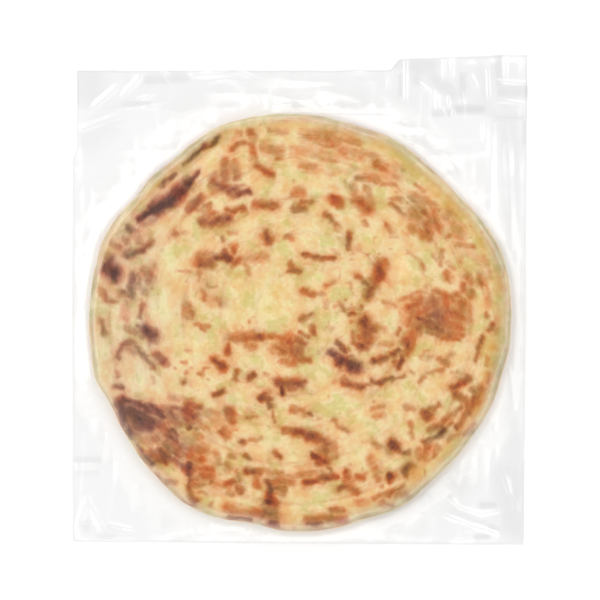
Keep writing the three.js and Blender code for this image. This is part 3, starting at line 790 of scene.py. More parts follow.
@dataclass(frozen=True)
class BakedDough:
    """Griddled wheat dough: laminated with fat, so it is satin to oily, and pale between the scorches.

    Sizes are in millimetres.

    Attributes:
        browning: the degrees of browning, from pale dough to char, that the next three give colours for.
        red_tones: the crust's colours.
        mauve_tones: the same where it is charred.
        olive_tones: the same where it is olive brown.
        rim_tones_and_shade: what tints the outer dough, from the rim inwards over its reach: partly the dry
            edge's own khaki, partly painted shade of the rounded rim, greyest at the edge.
        rim_reach: how far in from the rim that goes.
        lean_tints: what tints the patches of drier dough.
        lean_share: how strongly.
        oily_tints: what tints the patches of oilier, more golden dough.
        oily_share: how strongly.
        hue_tints: what makes some of the browning greyer and some brick red.
        hue_span: the browning from which on that shows, and at which it shows fully.
        butter_colour: of layers soaked with butter.
        dull_saturation: the strength of the colour where the crust is oily, and where it is dry.
        dull_value: the same for its brightness.
        fleck_size: of the mottling inside a mark.
        fleck_strength: how far that moves the browning.
        fleck_pale: how much of it there is on dough without any browning.
        patch_size: of the leaner and oilier patches.
        hue_size: of the patches that are browned grey or red.
        arc_width: of the stretched layers' streaks.
        arc_bends: how often a streak changes on its way round the bread.
        arc_span: what starts a streak, and what makes it full.
        arc_tone: how brown it is.
        seam_tone: how brown a seam is.
        ruffle_size: of the skin's coarser ruffle.
        ruffle_height: how much higher that is than the pits.
        pore_size: of its finest pits.
        bump_height: how deep both go.
        bump_strength: how much of that shows, from 0 to 1.
        ior: the refractive index of its fat.
        roughness: of the oily pale dough, and of the scorched skin, which is drier.
        dry_span: the browning at which it starts to be drier, and at which it is driest.
        glow: how much of the light strays in the dough before it comes out again.
        glow_depth: how far it strays.
        glow_colours: how much of that way red, green and blue go.
    """

    browning: tuple[float, ...] = (0.0, 0.12, 0.26, 0.42, 0.56, 0.7, 0.84, 1.0)
    red_tones: tuple[str, ...] = (
        "ebdda6", "e9d1a0", "e3b98b", "d49d67", "c68145", "b16533", "8f4a25", "653117",
    )
    mauve_tones: tuple[str, ...] = (
        "ebdda6", "e9d1a3", "e0b994", "ca9a7a", "b17c64", "97604e", "7b4a3c", "593630",
    )
    olive_tones: tuple[str, ...] = (
        "ebdda9", "e7d0a4", "dcba8e", "c69f6c", "ab8250", "8d653c", "784c2a", "5e3921",
    )
    rim_tones_and_shade: Stops = (
        (0.0, "c6c8b4"), (0.08, "dadac6"), (0.18, "eaead6"), (0.3, "e4dab8"), (0.45, "e9dfbe"),
        (0.7, "f3ebd4"), (1.0, "ffffff"),
    )
    rim_reach: float = 13.0
    lean_tints: Stops = ((0.36, "ffe9d9"), (0.5, "ffffff"), (0.64, "e7eec8"))
    lean_share: float = 0.75
    oily_tints: Stops = ((0.4, "ffffff"), (0.62, "f7dfba"))
    oily_share: float = 0.6
    hue_tints: Stops = ((0.38, "f2f8ff"), (0.5, "ffffff"), (0.62, "ffe0d0"))
    hue_span: Span = (0.15, 0.5)
    butter_colour: str = "d9a03c"
    dull_saturation: Span = (1.01, 0.7)
    dull_value: Span = (1.0, 0.89)
    fleck_size: float = 4.5
    fleck_strength: float = 0.6
    fleck_pale: float = 0.16
    patch_size: float = 11.0
    hue_size: float = 7.0
    arc_width: float = 3.2
    arc_bends: float = 7.0
    arc_span: Span = (0.46, 0.8)
    arc_tone: float = 0.12
    seam_tone: float = 0.09
    ruffle_size: float = 3.4
    ruffle_height: float = 2.2
    pore_size: float = 0.7
    bump_height: float = 0.25
    bump_strength: float = 0.35
    ior: float = 1.45
    roughness: Span = (0.42, 0.68)
    dry_span: Span = (0.3, 0.9)
    glow: float = 0.12
    glow_depth: float = 2.0
    glow_colours: tuple[float, float, float] = (1.0, 0.55, 0.25)

    def material(self) -> bpy.types.Material:
        """Builds the crust's material, which reads the values stored with the bread's vertices.

        Returns:
            The material.
        """
        material = new_material("griddled_wheat_dough")
        tree = material.node_tree
        place = add_node(tree, "TexCoord").outputs["Object"]
        tone, seam, inland, rim, butter, charred, olive, dull = (
            add_node(tree, "Attribute", attribute_name=name).outputs["Fac"]
            for name in ("tone", "seam", "inland", "rim", "butter", "charred", "olive", "dull")
        )
        flecks, patches, hues, ruffle, pores = (
            add_node(tree, "TexNoise", {"Vector": place, "Scale": 1 / (size * MM), **detail}, **settings)
            for size, detail, settings in (
                (self.fleck_size, {"Detail": 4.0, "Roughness": 0.6}, {}),
                (self.patch_size, {"Detail": 3.0, "Roughness": 0.6}, {}),
                (self.hue_size, {"Detail": 2.0, "W": 3.0}, {"noise_dimensions": "4D"}),
                (self.ruffle_size, {"Detail": 2.0, "Distortion": 0.6}, {}),
                (self.pore_size, {"Detail": 3.0, "Roughness": 0.6}, {}),
            )
        )

        # Mottling breaks up each mark's edge and middle, and the paler dough less.
        unsure = add_node(tree, "Math", {0: tone, 1: self.fleck_pale}, operation="ADD").outputs[0]
        centred = add_node(tree, "Math", {0: flecks.outputs["Fac"], 1: 0.5}, operation="SUBTRACT").outputs[0]
        stray = add_node(tree, "Math", {0: centred, 1: unsure}, operation="MULTIPLY").outputs[0]
        # Faint tan streaks run round with the coil, where the rolled layers were stretched.
        browned = [tone]
        for pattern, strength in (
            (stray, self.fleck_strength),
            (self._arcs(tree, place), self.arc_tone),
            (seam, self.seam_tone),
        ):
            inputs = {0: pattern, 1: strength, 2: browned[-1]}
            browned.append(add_node(tree, "Math", inputs, operation="MULTIPLY_ADD").outputs[0])
        mottled, brown = browned[1], browned[-1]

        lean, oily = add_node(tree, "SeparateColor", {0: patches.outputs["Color"]}).outputs[:2]
        red, mauve, olive_brown, lean_tint, oily_tint, hue_tint, rim_tint_and_shade = (
            add_node(tree, "ValToRGB", {"Fac": value}, stops).outputs["Color"]
            for value, stops in (
                (brown, tuple(zip(self.browning, self.red_tones))),
                (brown, tuple(zip(self.browning, self.mauve_tones))),
                (brown, tuple(zip(self.browning, self.olive_tones))),
                (lean, self.lean_tints),
                (oily, self.oily_tints),
                (hues.outputs["Fac"], self.hue_tints),
                (inland, self.rim_tones_and_shade),
            )
        )
        hue_inputs = {"Value": brown, "From Min": self.hue_span[0], "From Max": self.hue_span[1]}
        hue_share = add_node(tree, "MapRange", hue_inputs).outputs[0]
        dough = red
        for mode, share, colour in (
            (Blend.MIX, olive, olive_brown),
            (Blend.MIX, charred, mauve),
            (Blend.MULTIPLY, self.lean_share, lean_tint),
            (Blend.MULTIPLY, self.oily_share, oily_tint),
            (Blend.MULTIPLY, hue_share, hue_tint),
            (Blend.MIX, butter, linear(self.butter_colour)),
            # Painted shade: the outer dough is multiplied by khaki grey, partly its own dry colour, strongest
            # towards the upper right, away from the key light.
            (Blend.MULTIPLY, rim, rim_tint_and_shade),
        ):
            # A Mix node's colours are its inputs 6 and 7 and its output 2.
            inputs = {"Factor": share, 6: dough, 7: colour}
            dough = add_node(tree, "Mix", inputs, data_type="RGBA", blend_type=mode.value).outputs[2]

        # Where the crust is dry, as it is round the rim, its colour is duller. Scorched skin is
        # rougher than oily dough.
        saturation, value, roughness = (
            add_node(tree, "MapRange", {"Value": source, **limits, "To Min": low, "To Max": high}).outputs[0]
            for source, limits, (low, high) in (
                (dull, {}, self.dull_saturation),
                (dull, {}, self.dull_value),
                (mottled, {"From Min": self.dry_span[0], "From Max": self.dry_span[1]}, self.roughness),
            )
        )
        dull_inputs = {"Saturation": saturation, "Value": value, "Color": dough}
        dough = add_node(tree, "HueSaturation", dull_inputs).outputs["Color"]

        # The skin: fine pits and a slightly coarser ruffle.
        skin_inputs = {0: ruffle.outputs["Fac"], 1: self.ruffle_height, 2: pores.outputs["Fac"]}
        skin = add_node(tree, "Math", skin_inputs, operation="MULTIPLY_ADD").outputs[0]
        bump_inputs = {
            "Height": skin,
            "Strength": self.bump_strength,
            "Distance": self.bump_height * MM,
        }
        surface_inputs = {
            "Base Color": dough,
            "Roughness": roughness,
            "Normal": add_node(tree, "Bump", bump_inputs).outputs[0],
            "IOR": self.ior,
            "Subsurface Weight": self.glow,
            "Subsurface Radius": self.glow_colours,
            "Subsurface Scale": self.glow_depth * MM,
        }
        surface = add_node(tree, "BsdfPrincipled", surface_inputs).outputs["BSDF"]
        add_node(tree, "OutputMaterial", {"Surface": surface})
        return material

    def _arcs(self, tree: bpy.types.NodeTree, place: bpy.types.NodeSocket) -> bpy.types.NodeSocket:
        """Streaks that curve round the bread's middle, a few millimetres wide and many long.

        Args:
            tree: the material's nodes.
            place: the surface's position.

        Returns:
            How strong the streak is, from 0.
        """
        centring = {"Vector": place, "Location": (0.0, -BreadForm.offset_y * MM, 0.0), "Scale": (1, 1, 0)}
        middle = add_node(tree, "Mapping", centring).outputs[0]
        radius = add_node(tree, "VectorMath", {0: middle}, operation="LENGTH").outputs["Value"]
        heading = add_node(tree, "VectorMath", {0: middle}, operation="NORMALIZE").outputs[0]
        ring_inputs = {0: radius, 1: 1 / (self.arc_width * MM)}
        rings = add_node(tree, "Math", ring_inputs, operation="MULTIPLY").outputs[0]
        depth = add_node(tree, "CombineXYZ", {"Z": rings}).outputs[0]
        bent_inputs = {0: heading, 1: (self.arc_bends,) * 3, 2: depth}
        bent = add_node(tree, "VectorMath", bent_inputs, operation="MULTIPLY_ADD").outputs[0]
        inputs = {"Vector": bent, "Scale": 1.0, "Detail": 2.0, "Roughness": 0.45, "Distortion": 1.0}
        streaks = add_node(tree, "TexNoise", inputs).outputs["Fac"]
        limits = {"Value": streaks, "From Min": self.arc_span[0], "From Max": self.arc_span[1]}
        return add_node(tree, "MapRange", limits).outputs[0]


@dataclass(frozen=True)
class RimBrowningAndShade:
    # Besides real browning, this holds the rim's painted shade.
    """How the outer dough differs from the rest. Distances are in millimetres.

    Attributes:
        side_span: how far below the crown the rim's side starts, and where it is steep.
        base_span: how far below the waist the underside starts, and where it is level.
        side_fading: what share of the browning the side lacks.
        side_tone: how brown the side is at least.
        uneven: how the rim's reach varies.
        streaks: the stretched layers that lie along the rim.
        streak_length: how many times longer than wide they are.
        streak_tone: how brown they are.
        streak_start: how far in from the rim they start, and where they are full.
        streak_end: how far in they start to fade, and where they have faded.
        facing: the direction, in degrees from +X, in which the rim is most tinted and streaked: the upper
            right, away from the key light, where the extra tint and streaking are painted shade.
        facing_mean: how strongly it is so all round, from 0 to 1.
        facing_more: how much stronger that is in that direction, and weaker in the opposite one.
        dry_edge: how far in the dry edge starts to end, and where it has ended.
        dry_side: what share of its dryness the rim's side lacks.
        dry_left: how dry the crust is on the left.
        dry_left_end: how far right that fades out, and where it has ended.
        dry_left_start: how far up it starts, and where it is full.
        khaki_edge: how far in the khaki tint all round, which is partly painted shade, starts to fade, and
            where it has faded.
        khaki_side: the same, down the rim's side.
    """

    side_span: Span = (0.9, 4.2)
    base_span: Span = (0.0, 2.5)
    side_fading: float = 0.5
    side_tone: float = 0.12
    uneven: Noise = Noise(34, 1.2, 12.0)
    streaks: Noise = Noise(33, 1.0, 26.0, 2)
    streak_length: float = 14.0
    streak_tone: float = 0.15
    streak_start: Span = (2.0, 4.0)
    streak_end: Span = (9.0, 17.0)
    facing: float = 30.0
    facing_mean: float = 0.5
    facing_more: float = 0.3
    dry_edge: Span = (0.5, 8.0)
    dry_side: float = 0.6
    dry_left: float = 0.42
    dry_left_end: Span = (-100.0, -52.0)
    dry_left_start: Span = (-85.0, -50.0)
    khaki_edge: Span = (1.5, 4.0)
    khaki_side: Span = (1.2, 3.4)


@dataclass
class Bread:
    """The flatbread: a disc of dough turned on its axis, then shaped by hand.

    Attributes:
        form: its shape.
        scorching: its browning.
        rim: how its rim differs.
        finish: its material.
        steps: how many slices one turn of the lathe has.
        crown_rings: rings of faces across the top.
        rim_rings: rings of faces round the rim's upper and lower halves.
        base_rings: rings of faces across the underside.
        layers: how the rim's thin layers of dough stand in and out, in millimetres.
        knobs: how the rim does so in larger lumps.
        layer_start: how far out these start, as a share of the radius, and where they are full.
        puff_rise: how far scorched dough has puffed up, in millimetres.
        puff_span: how brown dough starts to do so, and where it does so fully.
        fold_rise: how far a pale fold stands up, in millimetres.
        seam_width: the half width in millimetres of the browning in a seam.
        seam_start: the span of radii over which that grows clear.
    """

    form: BreadForm = BreadForm()
    scorching: Scorching = Scorching()
    rim: RimBrowningAndShade = RimBrowningAndShade()
    finish: BakedDough = BakedDough()
    steps: int = 600
    crown_rings: int = 122
    rim_rings: int = 8
    base_rings: int = 18
    layers: Noise = Noise(31, 0.28, 0.9)
    knobs: Noise = Noise(32, 0.25, 4.0)
    layer_start: Span = (0.96, 0.99)
    puff_rise: float = 0.25
    puff_span: Span = (0.45, 0.8)
    fold_rise: float = 0.5
    seam_width: float = 1.5
    seam_start: Span = (8.0, 28.0)

    def build(self) -> bpy.types.Object:
        """Builds the bread in its place.

        Returns:
            The bread.
        """
        piece = finish_mesh("katmer", self._turned(), self.finish.material())
        self._shape(piece.data, *(coordinates(piece.data) / MM).T)
        return piece

    def _section(self) -> list[tuple[float, float]]:
        """Half of the round blank's section, as radii and heights in millimetres.

        Returns:
            The points from the middle of the underside, round the rim, to the middle of the top.
        """
        form = self.form
        flat = form.radius - form.rim_width
        points = [(flat * ring / self.base_rings, form.underside) for ring in range(self.base_rings)]
        for ring in range(-self.rim_rings, self.rim_rings):
            turn = 0.5 * math.pi * ring / self.rim_rings
            rise = form.crown - form.rim_waist if ring > 0 else form.rim_waist - form.underside
            points.append((flat + form.rim_width * math.cos(turn), form.rim_waist + rise * math.sin(turn)))
        points += [(flat * ring / self.crown_rings, form.crown) for ring in range(self.crown_rings, -1, -1)]
        return points

    def _turned(self) -> bmesh.types.BMesh:
        """The round blank, spun from its section.

        Returns:
            The blank, closed and with its faces pointing out.
        """
        form = bmesh.new()
        corners = [form.verts.new((radius * MM, 0.0, height * MM)) for radius, height in self._section()]
        edges = [form.edges.new(pair) for pair in zip(corners, corners[1:])]
        bmesh.ops.spin(
            form,
            geom=corners + edges,
            cent=(0, 0, 0),
            axis=(0, 0, 1),
            angle=2 * math.pi,
            steps=self.steps,
            use_merge=True,
        )
        bmesh.ops.remove_doubles(form, verts=form.verts, dist=0.01 * MM)
        bmesh.ops.recalc_face_normals(form, faces=form.faces)
        return form

    def _shape(self, mesh: bpy.types.Mesh, blank_x: Array, blank_y: Array, blank_z: Array) -> None:
        """Moves the blank's vertices to the bread's shape and stores what its material reads.

        Args:
            mesh: the round blank, which is changed.
            blank_x: its vertices in millimetres.
            blank_y: the same.
            blank_z: the same.
        """
        form, rim = self.form, self.rim
        angle = np.arctan2(blank_y, blank_x)
        share = np.hypot(blank_x, blank_y) / form.radius
        stretch = 1.0 + (form.rim(angle) / form.radius - 1.0) * share**2
        x, y = blank_x * stretch, blank_y * stretch
        upper = smooth_step(blank_z, form.rim_waist, form.crown)
        layers = self._layers(angle, blank_z) * smooth_step(share, *self.layer_start)
        x, y = x + layers * np.cos(angle), y + layers * np.sin(angle)
        height = blank_z + upper * (form.relief(x, y) + form.grain(x, y))

        side = smooth_step(form.crown - blank_z, *rim.side_span)
        below = smooth_step(form.rim_waist - blank_z, *rim.base_span)
        underside = blank_z < form.rim_waist
        tone = self.scorching.tone(np.where(underside, -y, x), np.where(underside, x, y))
        tone = tone * np.maximum(1 - rim.side_fading * side, below) + rim.side_tone * side * (1 - below)
        inland = form.rim(angle) - np.hypot(x, y) + rim.uneven.at(x, y)
        streaks = rim.streaks.at(inland * rim.streak_length, angle * form.radius)
        # Painted shade: the rim is tinted and streaked more towards rim.facing, the upper right, away from
        # the key light.
        facing = rim.facing_mean + rim.facing_more * np.cos(angle - math.radians(rim.facing))
        in_rim = facing * smooth_step(inland, *rim.streak_start) * (1 - smooth_step(inland, *rim.streak_end))
        tone += rim.streak_tone * np.clip(streaks, 0.0, 1.0) * in_rim
        puffed = self.puff_rise * smooth_step(tone, *self.puff_span)
        height = height + upper * (puffed + self.fold_rise * strokes_at(x, y, FOLDS_AND_HIGHLIGHTS))
        move_vertices(mesh, x, y + form.offset_y, height)

        dry_edge = (1 - smooth_step(inland, *rim.dry_edge)) * (1 - rim.dry_side * side)
        dry_left = rim.dry_left * (1 - smooth_step(x, *rim.dry_left_end))
        dry_left = dry_left * smooth_step(y, *rim.dry_left_start)
        # The khaki grey tint of the outer dough: partly the dry edge's own colour, partly painted shade. It
        # is full at the edge, strongest towards the upper right, and fades down the side.
        khaki_and_shade = np.maximum(facing, 1 - smooth_step(inland, *rim.khaki_edge))
        store_values(
            mesh,
            tone=tone,
            seam=form.seam(form.turn(x, y), self.seam_width) * smooth_step(np.hypot(x, y), *self.seam_start),
            butter=self.scorching.butter(x, y) * (1 - below),
            charred=self.scorching.charring(x, y),
            olive=self.scorching.olive(x, y),
            inland=inland / self.finish.rim_reach,
            dull=np.maximum(dry_edge, dry_left),
            # rim: where the khaki tint and painted shade fall.
            rim=khaki_and_shade * (1 - smooth_step(form.crown - blank_z, *rim.khaki_side)),
        )

    def _layers(self, angle: Array, height: Array) -> Array:
        """How far the rim's thin layers of dough stand in and out, in millimetres."""
        # They dip and rise five times on their way round.
        layers = self.layers.at(height + 0.5 * np.sin(5 * angle), angle * 18.0)
        return layers + self.knobs.at(np.cos(angle) * 40.0, np.sin(angle) * 40.0)


# --- The bag -----------------------------------------------------------------------------------


@dataclass(frozen=True)
class Crease:
    """A ridge in the film, in millimetres from the bag's middle.

    Attributes:
        start_x: where it starts.
        start_y: where it starts.
        end_x: where it ends.
        end_y: where it ends.
        height: how far its straight flanks rise.
        width: the half width of its foot.
    """

    start_x: float
    start_y: float
    end_x: float
    end_y: float
    height: float
    width: float

    def lift(self, x: Array, y: Array) -> Array:
        """How far the crease lifts the film at each point.

        Args:
            x: millimetres across.
            y: millimetres along.

        Returns:
            One height for each point.
        """
        run_x, run_y = self.end_x - self.start_x, self.end_y - self.start_y
        share = ((x - self.start_x) * run_x + (y - self.start_y) * run_y) / (run_x * run_x + run_y * run_y)
        along = np.clip(share, 0.0, 1.0)
        away = np.hypot(x - self.start_x - along * run_x, y - self.start_y - along * run_y)
        # It is lower at its ends, and its top is rounded a little.
        taper = np.sin(np.pi * (0.15 + 0.7 * along))
        return self.height * taper * np.maximum(0.0, 1.0 - np.sqrt((away / self.width) ** 2 + 0.01))


@dataclass(frozen=True)
class ClearFilm:
    """Cast polypropylene film, about 40 micrometres thick: clear, glossy and stiff enough to crease.

    Attributes:
        clearness: the light that passes straight through, apart from reflection.
        doubled_clearness: the same where the film is sealed or lies double.
        glare: the share of light that both faces reflect together, seen squarely and at a slant. The
            wrinkles keep it from mirroring like a flat sheet.
        lying: what share of that is left where the film stands clear, and where it lies flat.
        roughness: of its surface.
        wrinkle_size: size in millimetres of its smallest puckers.
        wrinkle_height: how high they are, in millimetres.
        wrinkle_strength: how much of that shows, from 0 to 1.
    """

    clearness: str = "ffffff"
    doubled_clearness: str = "f2f2f2"
    glare: Span = (0.075, 0.42)
    lying: Span = (1.0, 0.06)
    roughness: float = 0.12
    wrinkle_size: float = 9.0
    wrinkle_height: float = 1.0
    wrinkle_strength: float = 0.25

    def material(self) -> bpy.types.Material:
        """Builds the film's material, which reads where the film is sealed and where it lies flat.

        Returns:
            The material.
        """
        material = new_material("clear_polypropylene_film")
        tree = material.node_tree
        place = add_node(tree, "TexCoord").outputs["Object"]
        seal, flat = (
            add_node(tree, "Attribute", attribute_name=name).outputs["Fac"] for name in ("seal", "flat")
        )
        pucker_scale = 1 / (self.wrinkle_size * MM)
        pucker_inputs = {"Vector": place, "Scale": pucker_scale, "Detail": 3.0, "Distortion": 1.2}
        puckers = add_node(tree, "TexNoise", pucker_inputs).outputs["Fac"]
        bump_inputs = {
            "Height": puckers,
            "Strength": self.wrinkle_strength,
            "Distance": self.wrinkle_height * MM,
        }
        bump = add_node(tree, "Bump", bump_inputs).outputs[0]

        # Reflection grows with the fifth power of the slant, as on any clear material. Film that
        # lies flat on the table hardly shows at all.
        facing = add_node(tree, "LayerWeight", {"Blend": 0.5, "Normal": bump}).outputs["Facing"]
        slant = add_node(tree, "Math", {0: facing, 1: 5.0}, operation="POWER").outputs[0]
        shine, lying = (
            add_node(tree, "MapRange", {"Value": value, "To Min": low, "To Max": high}).outputs[0]
            for value, (low, high) in ((slant, self.glare), (flat, self.lying))
        )
        shown = add_node(tree, "Math", {0: shine, 1: lying}, operation="MULTIPLY").outputs[0]
        tints = {"Factor": seal, 6: linear(self.clearness), 7: linear(self.doubled_clearness)}
        tint = add_node(tree, "Mix", tints, data_type="RGBA").outputs[2]
        through = add_node(tree, "BsdfTransparent", {"Color": tint}).outputs[0]
        gloss_inputs = {"Color": (1, 1, 1, 1), "Roughness": self.roughness, "Normal": bump}
        gloss = add_node(tree, "BsdfAnisotropic", gloss_inputs).outputs[0]
        film = add_node(tree, "MixShader", {0: shown, 1: through, 2: gloss}).outputs[0]
        add_node(tree, "OutputMaterial", {"Surface": film})
        return material


@dataclass(frozen=True)
class Skin:
    """A closed sheet of film with an upper and a lower face, made from a square grid.

    Attributes:
        across: where the grid's lines lie from its left edge, -1, to its right edge, 1.
        along: the same from its lower edge to its upper edge.
        hem: how far in from the edge the lower face has come down, from 0 to 1.
    """

    across: Array
    along: Array
    hem: float = 0.03

    def build(self, name: str, material: bpy.types.Material) -> tuple[bpy.types.Object, Array, Array, Array]:
        """Builds the flat square skin.

        Args:
            name: the piece's name.
            material: its finish.

        Returns:
            The piece, each vertex's place across and along, from -1 to 1, and whether it is on the
            upper face.
        """
        form = bmesh.new()
        bmesh.ops.create_grid(form, x_segments=len(self.across) - 1, y_segments=len(self.along) - 1, size=1.0)
        upper_count = len(form.verts)
        loop = [edge for edge in form.edges if edge.is_boundary]
        for inset in (1.0 - self.hem / 2, 1.0 - self.hem, 1.0 - 3 * self.hem):
            extruded = bmesh.ops.extrude_edge_only(form, edges=loop)["geom"]
            loop = [item for item in extruded if isinstance(item, bmesh.types.BMEdge) and item.is_boundary]
            for corner in {corner for edge in loop for corner in edge.verts}:
                corner.co.xy = corner.co.xy * (inset / max(abs(corner.co.x), abs(corner.co.y)))
        bmesh.ops.edgeloop_fill(form, edges=loop)
        bmesh.ops.recalc_face_normals(form, faces=form.faces)
        piece = finish_mesh(name, form, material)
        place = coordinates(piece.data)
        u = np.interp(place[:, 0], np.linspace(-1, 1, len(self.across)), self.across)
        v = np.interp(place[:, 1], np.linspace(-1, 1, len(self.along)), self.along)
        return piece, u, v, np.arange(len(place)) < upper_count


@dataclass(frozen=True)
class Outline:
    """The bag's outline, seen from above, in millimetres from its middle.

    Places across and along the bag run from -1, on the left and at the bottom, to 1.

    Attributes:
        half_width: half the bag's width.
        half_length: half the bag's length.
        lean: how far in the lower end of its right side and the left end of its lower edge lie.
        step: how far its left side steps in near the mouth.
        step_span: where along the bag it does so.
        fold: how much lower the folded left part of its upper edge lies.
        fold_end: where across the bag that part ends.
        corner: how far the upper edge sinks on its way from the upper right corner.
        corner_length: how far across the bag that takes.
        mouth_change: how the upper edge varies.
        flap_end: where the flap ends, on the bag's middle line.
        flap_lean: how much further down it ends on the right.
        flap_end_change: how that varies.
        change_scale: what turns a place across into the coordinate of both changes.
    """

    half_width: float = 129.0
    half_length: float = 139.0
    lean: float = 2.0
    step: float = 2.6
    step_span: Span = (0.62, 0.68)
    fold: float = 6.6
    fold_end: Span = (0.385, 0.435)
    corner: float = 2.2
    corner_length: float = 0.6
    mouth_change: Noise = Noise(45, 0.25, 3.0)
    flap_end: float = 105.0
    flap_lean: float = 2.5
    flap_end_change: Noise = Noise(46, 0.5, 8.0)
    change_scale: float = 60.0

    def side(self, across: Array, along: Array) -> Array:
        """How far right a place across and along the bag lies.

        Args:
            across: from -1 to 1.
            along: from -1 to 1.

        Returns:
            Millimetres from the bag's middle.
        """
        left, right = 0.5 - 0.5 * across, 0.5 + 0.5 * across
        left_edge = -self.half_width + self.step * smooth_step(along, *self.step_span)
        right_edge = self.half_width - self.lean * (0.5 - 0.5 * along)
        return left_edge * left + right_edge * right

    def bottom(self, across: Array) -> Array:
        """How far up the bag's lower edge lies."""
        return -self.half_length + self.lean * (0.5 - 0.5 * across)

    def mouth(self, across: Array) -> Array:
        """How far up the bag's upper edge lies.

        Args:
            across: from -1 to 1.

        Returns:
            Millimetres from the bag's middle.
        """
        fold = self.fold * (1 - smooth_step(across, *self.fold_end))
        drop = fold + self.corner * smooth_step(1 - across, 0, self.corner_length)
        return self.half_length - drop + self.mouth_change.at(across * self.change_scale, across * 0)

    def free_edge(self, across: Array) -> Array:
        """How far up the flap ends."""
        change = self.flap_end_change.at(across * self.change_scale, across * 0)
        return self.flap_end - self.flap_lean * across + change

    def room(self, x: Array, y: Array, angle: Array) -> Array:
        """How far it is from each point to the outline.

        Args:
            x: millimetres across.
            y: millimetres along.
            angle: the direction to look in, in radians.

        Returns:
            One distance for each point.
        """
        # A way that runs along an edge never meets it, so how far it leans towards one stays above 0.
        least = 1e-3
        return np.minimum(
            (self.half_width - np.abs(x)) / np.maximum(np.abs(np.cos(angle)), least),
            (self.half_length - np.abs(y)) / np.maximum(np.abs(np.sin(angle)), least),
        )


@dataclass(frozen=True)
class Drape:
    """How the upper film lies on the bread and round it. Sizes are in millimetres.

    Attributes:
        bread: the shape that the film hugs.
        outline: the bag's outline.
        clearance: the gap between the bread's crown and the film.
        hold: how far in from the rim's outline the film starts to fall.
        leaving: the height from which it falls.
        leaving_change: how that varies.
        reach: how far from the rim it reaches the table.
        reach_change: how that varies, as a share of it.
        least_reach: the same where the bag's edge is nearest.
        rounding: how far the film rounds off where it leaves the bread.
        edge_lift: the height of the bag's edges where there is room.
        tight_lift: how much higher they are where there is hardly any.
        tight_gap: the gap between rim and edge that counts as hardly any.
        tight_fade: how much wider a gap has to be for that to have mostly gone.
        loose_span: how far beyond the bread the wrinkles start, and where they are full.
        calm_edge: how far in from the bag's edge they are full.
        billow: the film's broad rise and fall.
        bend_x: how the edges of its facets bend.
        bend_y: the same.
        upright: the height of the facets that run along the bag.
        level: the height of those that run across it.
        stretch: what the lengthwise coordinate of each kind is multiplied by, so that it is long.
    """

    bread: BreadForm = BreadForm()
    outline: Outline = Outline()
    clearance: float = 0.4
    hold: float = 1.5
    leaving: float = 6.4
    leaving_change: Noise = Noise(44, 0.6, 17.0)
    reach: float = 26.0
    reach_change: Noise = Noise(43, 0.3, 40.0)
    least_reach: float = 5.0
    rounding: float = 0.4
    edge_lift: float = 0.5
    tight_lift: float = 2.1
    tight_gap: float = 9.0
    tight_fade: float = 7.0
    loose_span: Span = (1.0, 14.0)
    calm_edge: float = 8.0
    billow: Noise = Noise(41, 0.8, 24.0, 2)
    bend_x: Noise = Noise(48, 3.0, 30.0)
    bend_y: Noise = Noise(49, 3.0, 30.0)
    upright: Noise = Noise(50, 0.55, 6.5)
    level: Noise = Noise(51, 0.45, 8.0)
    stretch: tuple[float, float] = (0.35, 0.4)

    def beyond(self, x: Array, y: Array) -> Array:
        """How far beyond the bread's rim each point lies."""
        bread_y = y - self.bread.offset_y
        return np.hypot(x, bread_y) - self.bread.rim(np.arctan2(bread_y, x))

    def height(self, x: Array, y: Array) -> Array:
        """The height of the upper film.

        Args:
            x: millimetres across.
            y: millimetres along.

        Returns:
            Heights above the table in millimetres.
        """
        bread_y = y - self.bread.offset_y
        beyond = self.beyond(x, y) + self.hold
        room = self.outline.room(x, y, np.arctan2(bread_y, x))
        gap = np.maximum(beyond + room, self.least_reach)
        reach = np.minimum(self.reach * (1 + self.reach_change.at(x, y)), gap)
        edge = self.edge_lift + self.tight_lift * bell(np.maximum(gap - self.tight_gap, 0.0), self.tight_fade)
        left_on = np.clip(1.0 - np.maximum(beyond, 0.0) / reach, 0.0, 1.0)
        leaving = self.leaving + self.leaving_change.at(x, y)
        falling = edge + (leaving - edge) * left_on * left_on
        on_bread = np.where(beyond < self.hold, self.bread.crest(x, bread_y) + self.clearance, 0.0)
        wrinkles = smooth_step(beyond, *self.loose_span) * (self.billow.at(x, y) + self._crumple(x, y))
        film = smooth_max(on_bread, falling, self.rounding)
        return film + wrinkles * smooth_step(room, 0.0, self.calm_edge)

    def _crumple(self, x: Array, y: Array) -> Array:
        """Flat facets with sharp edges between them, as in stiff film that was handled.

        Args:
            x: millimetres across.
            y: millimetres along.

        Returns:
            One height for each point.
        """
        bent_x, bent_y = x + self.bend_x.at(x, y), y + self.bend_y.at(x, y)
        upright = np.abs(self.upright.at(bent_x, bent_y * self.stretch[0]))
        return upright + np.abs(self.level.at(bent_x * self.stretch[1], bent_y))


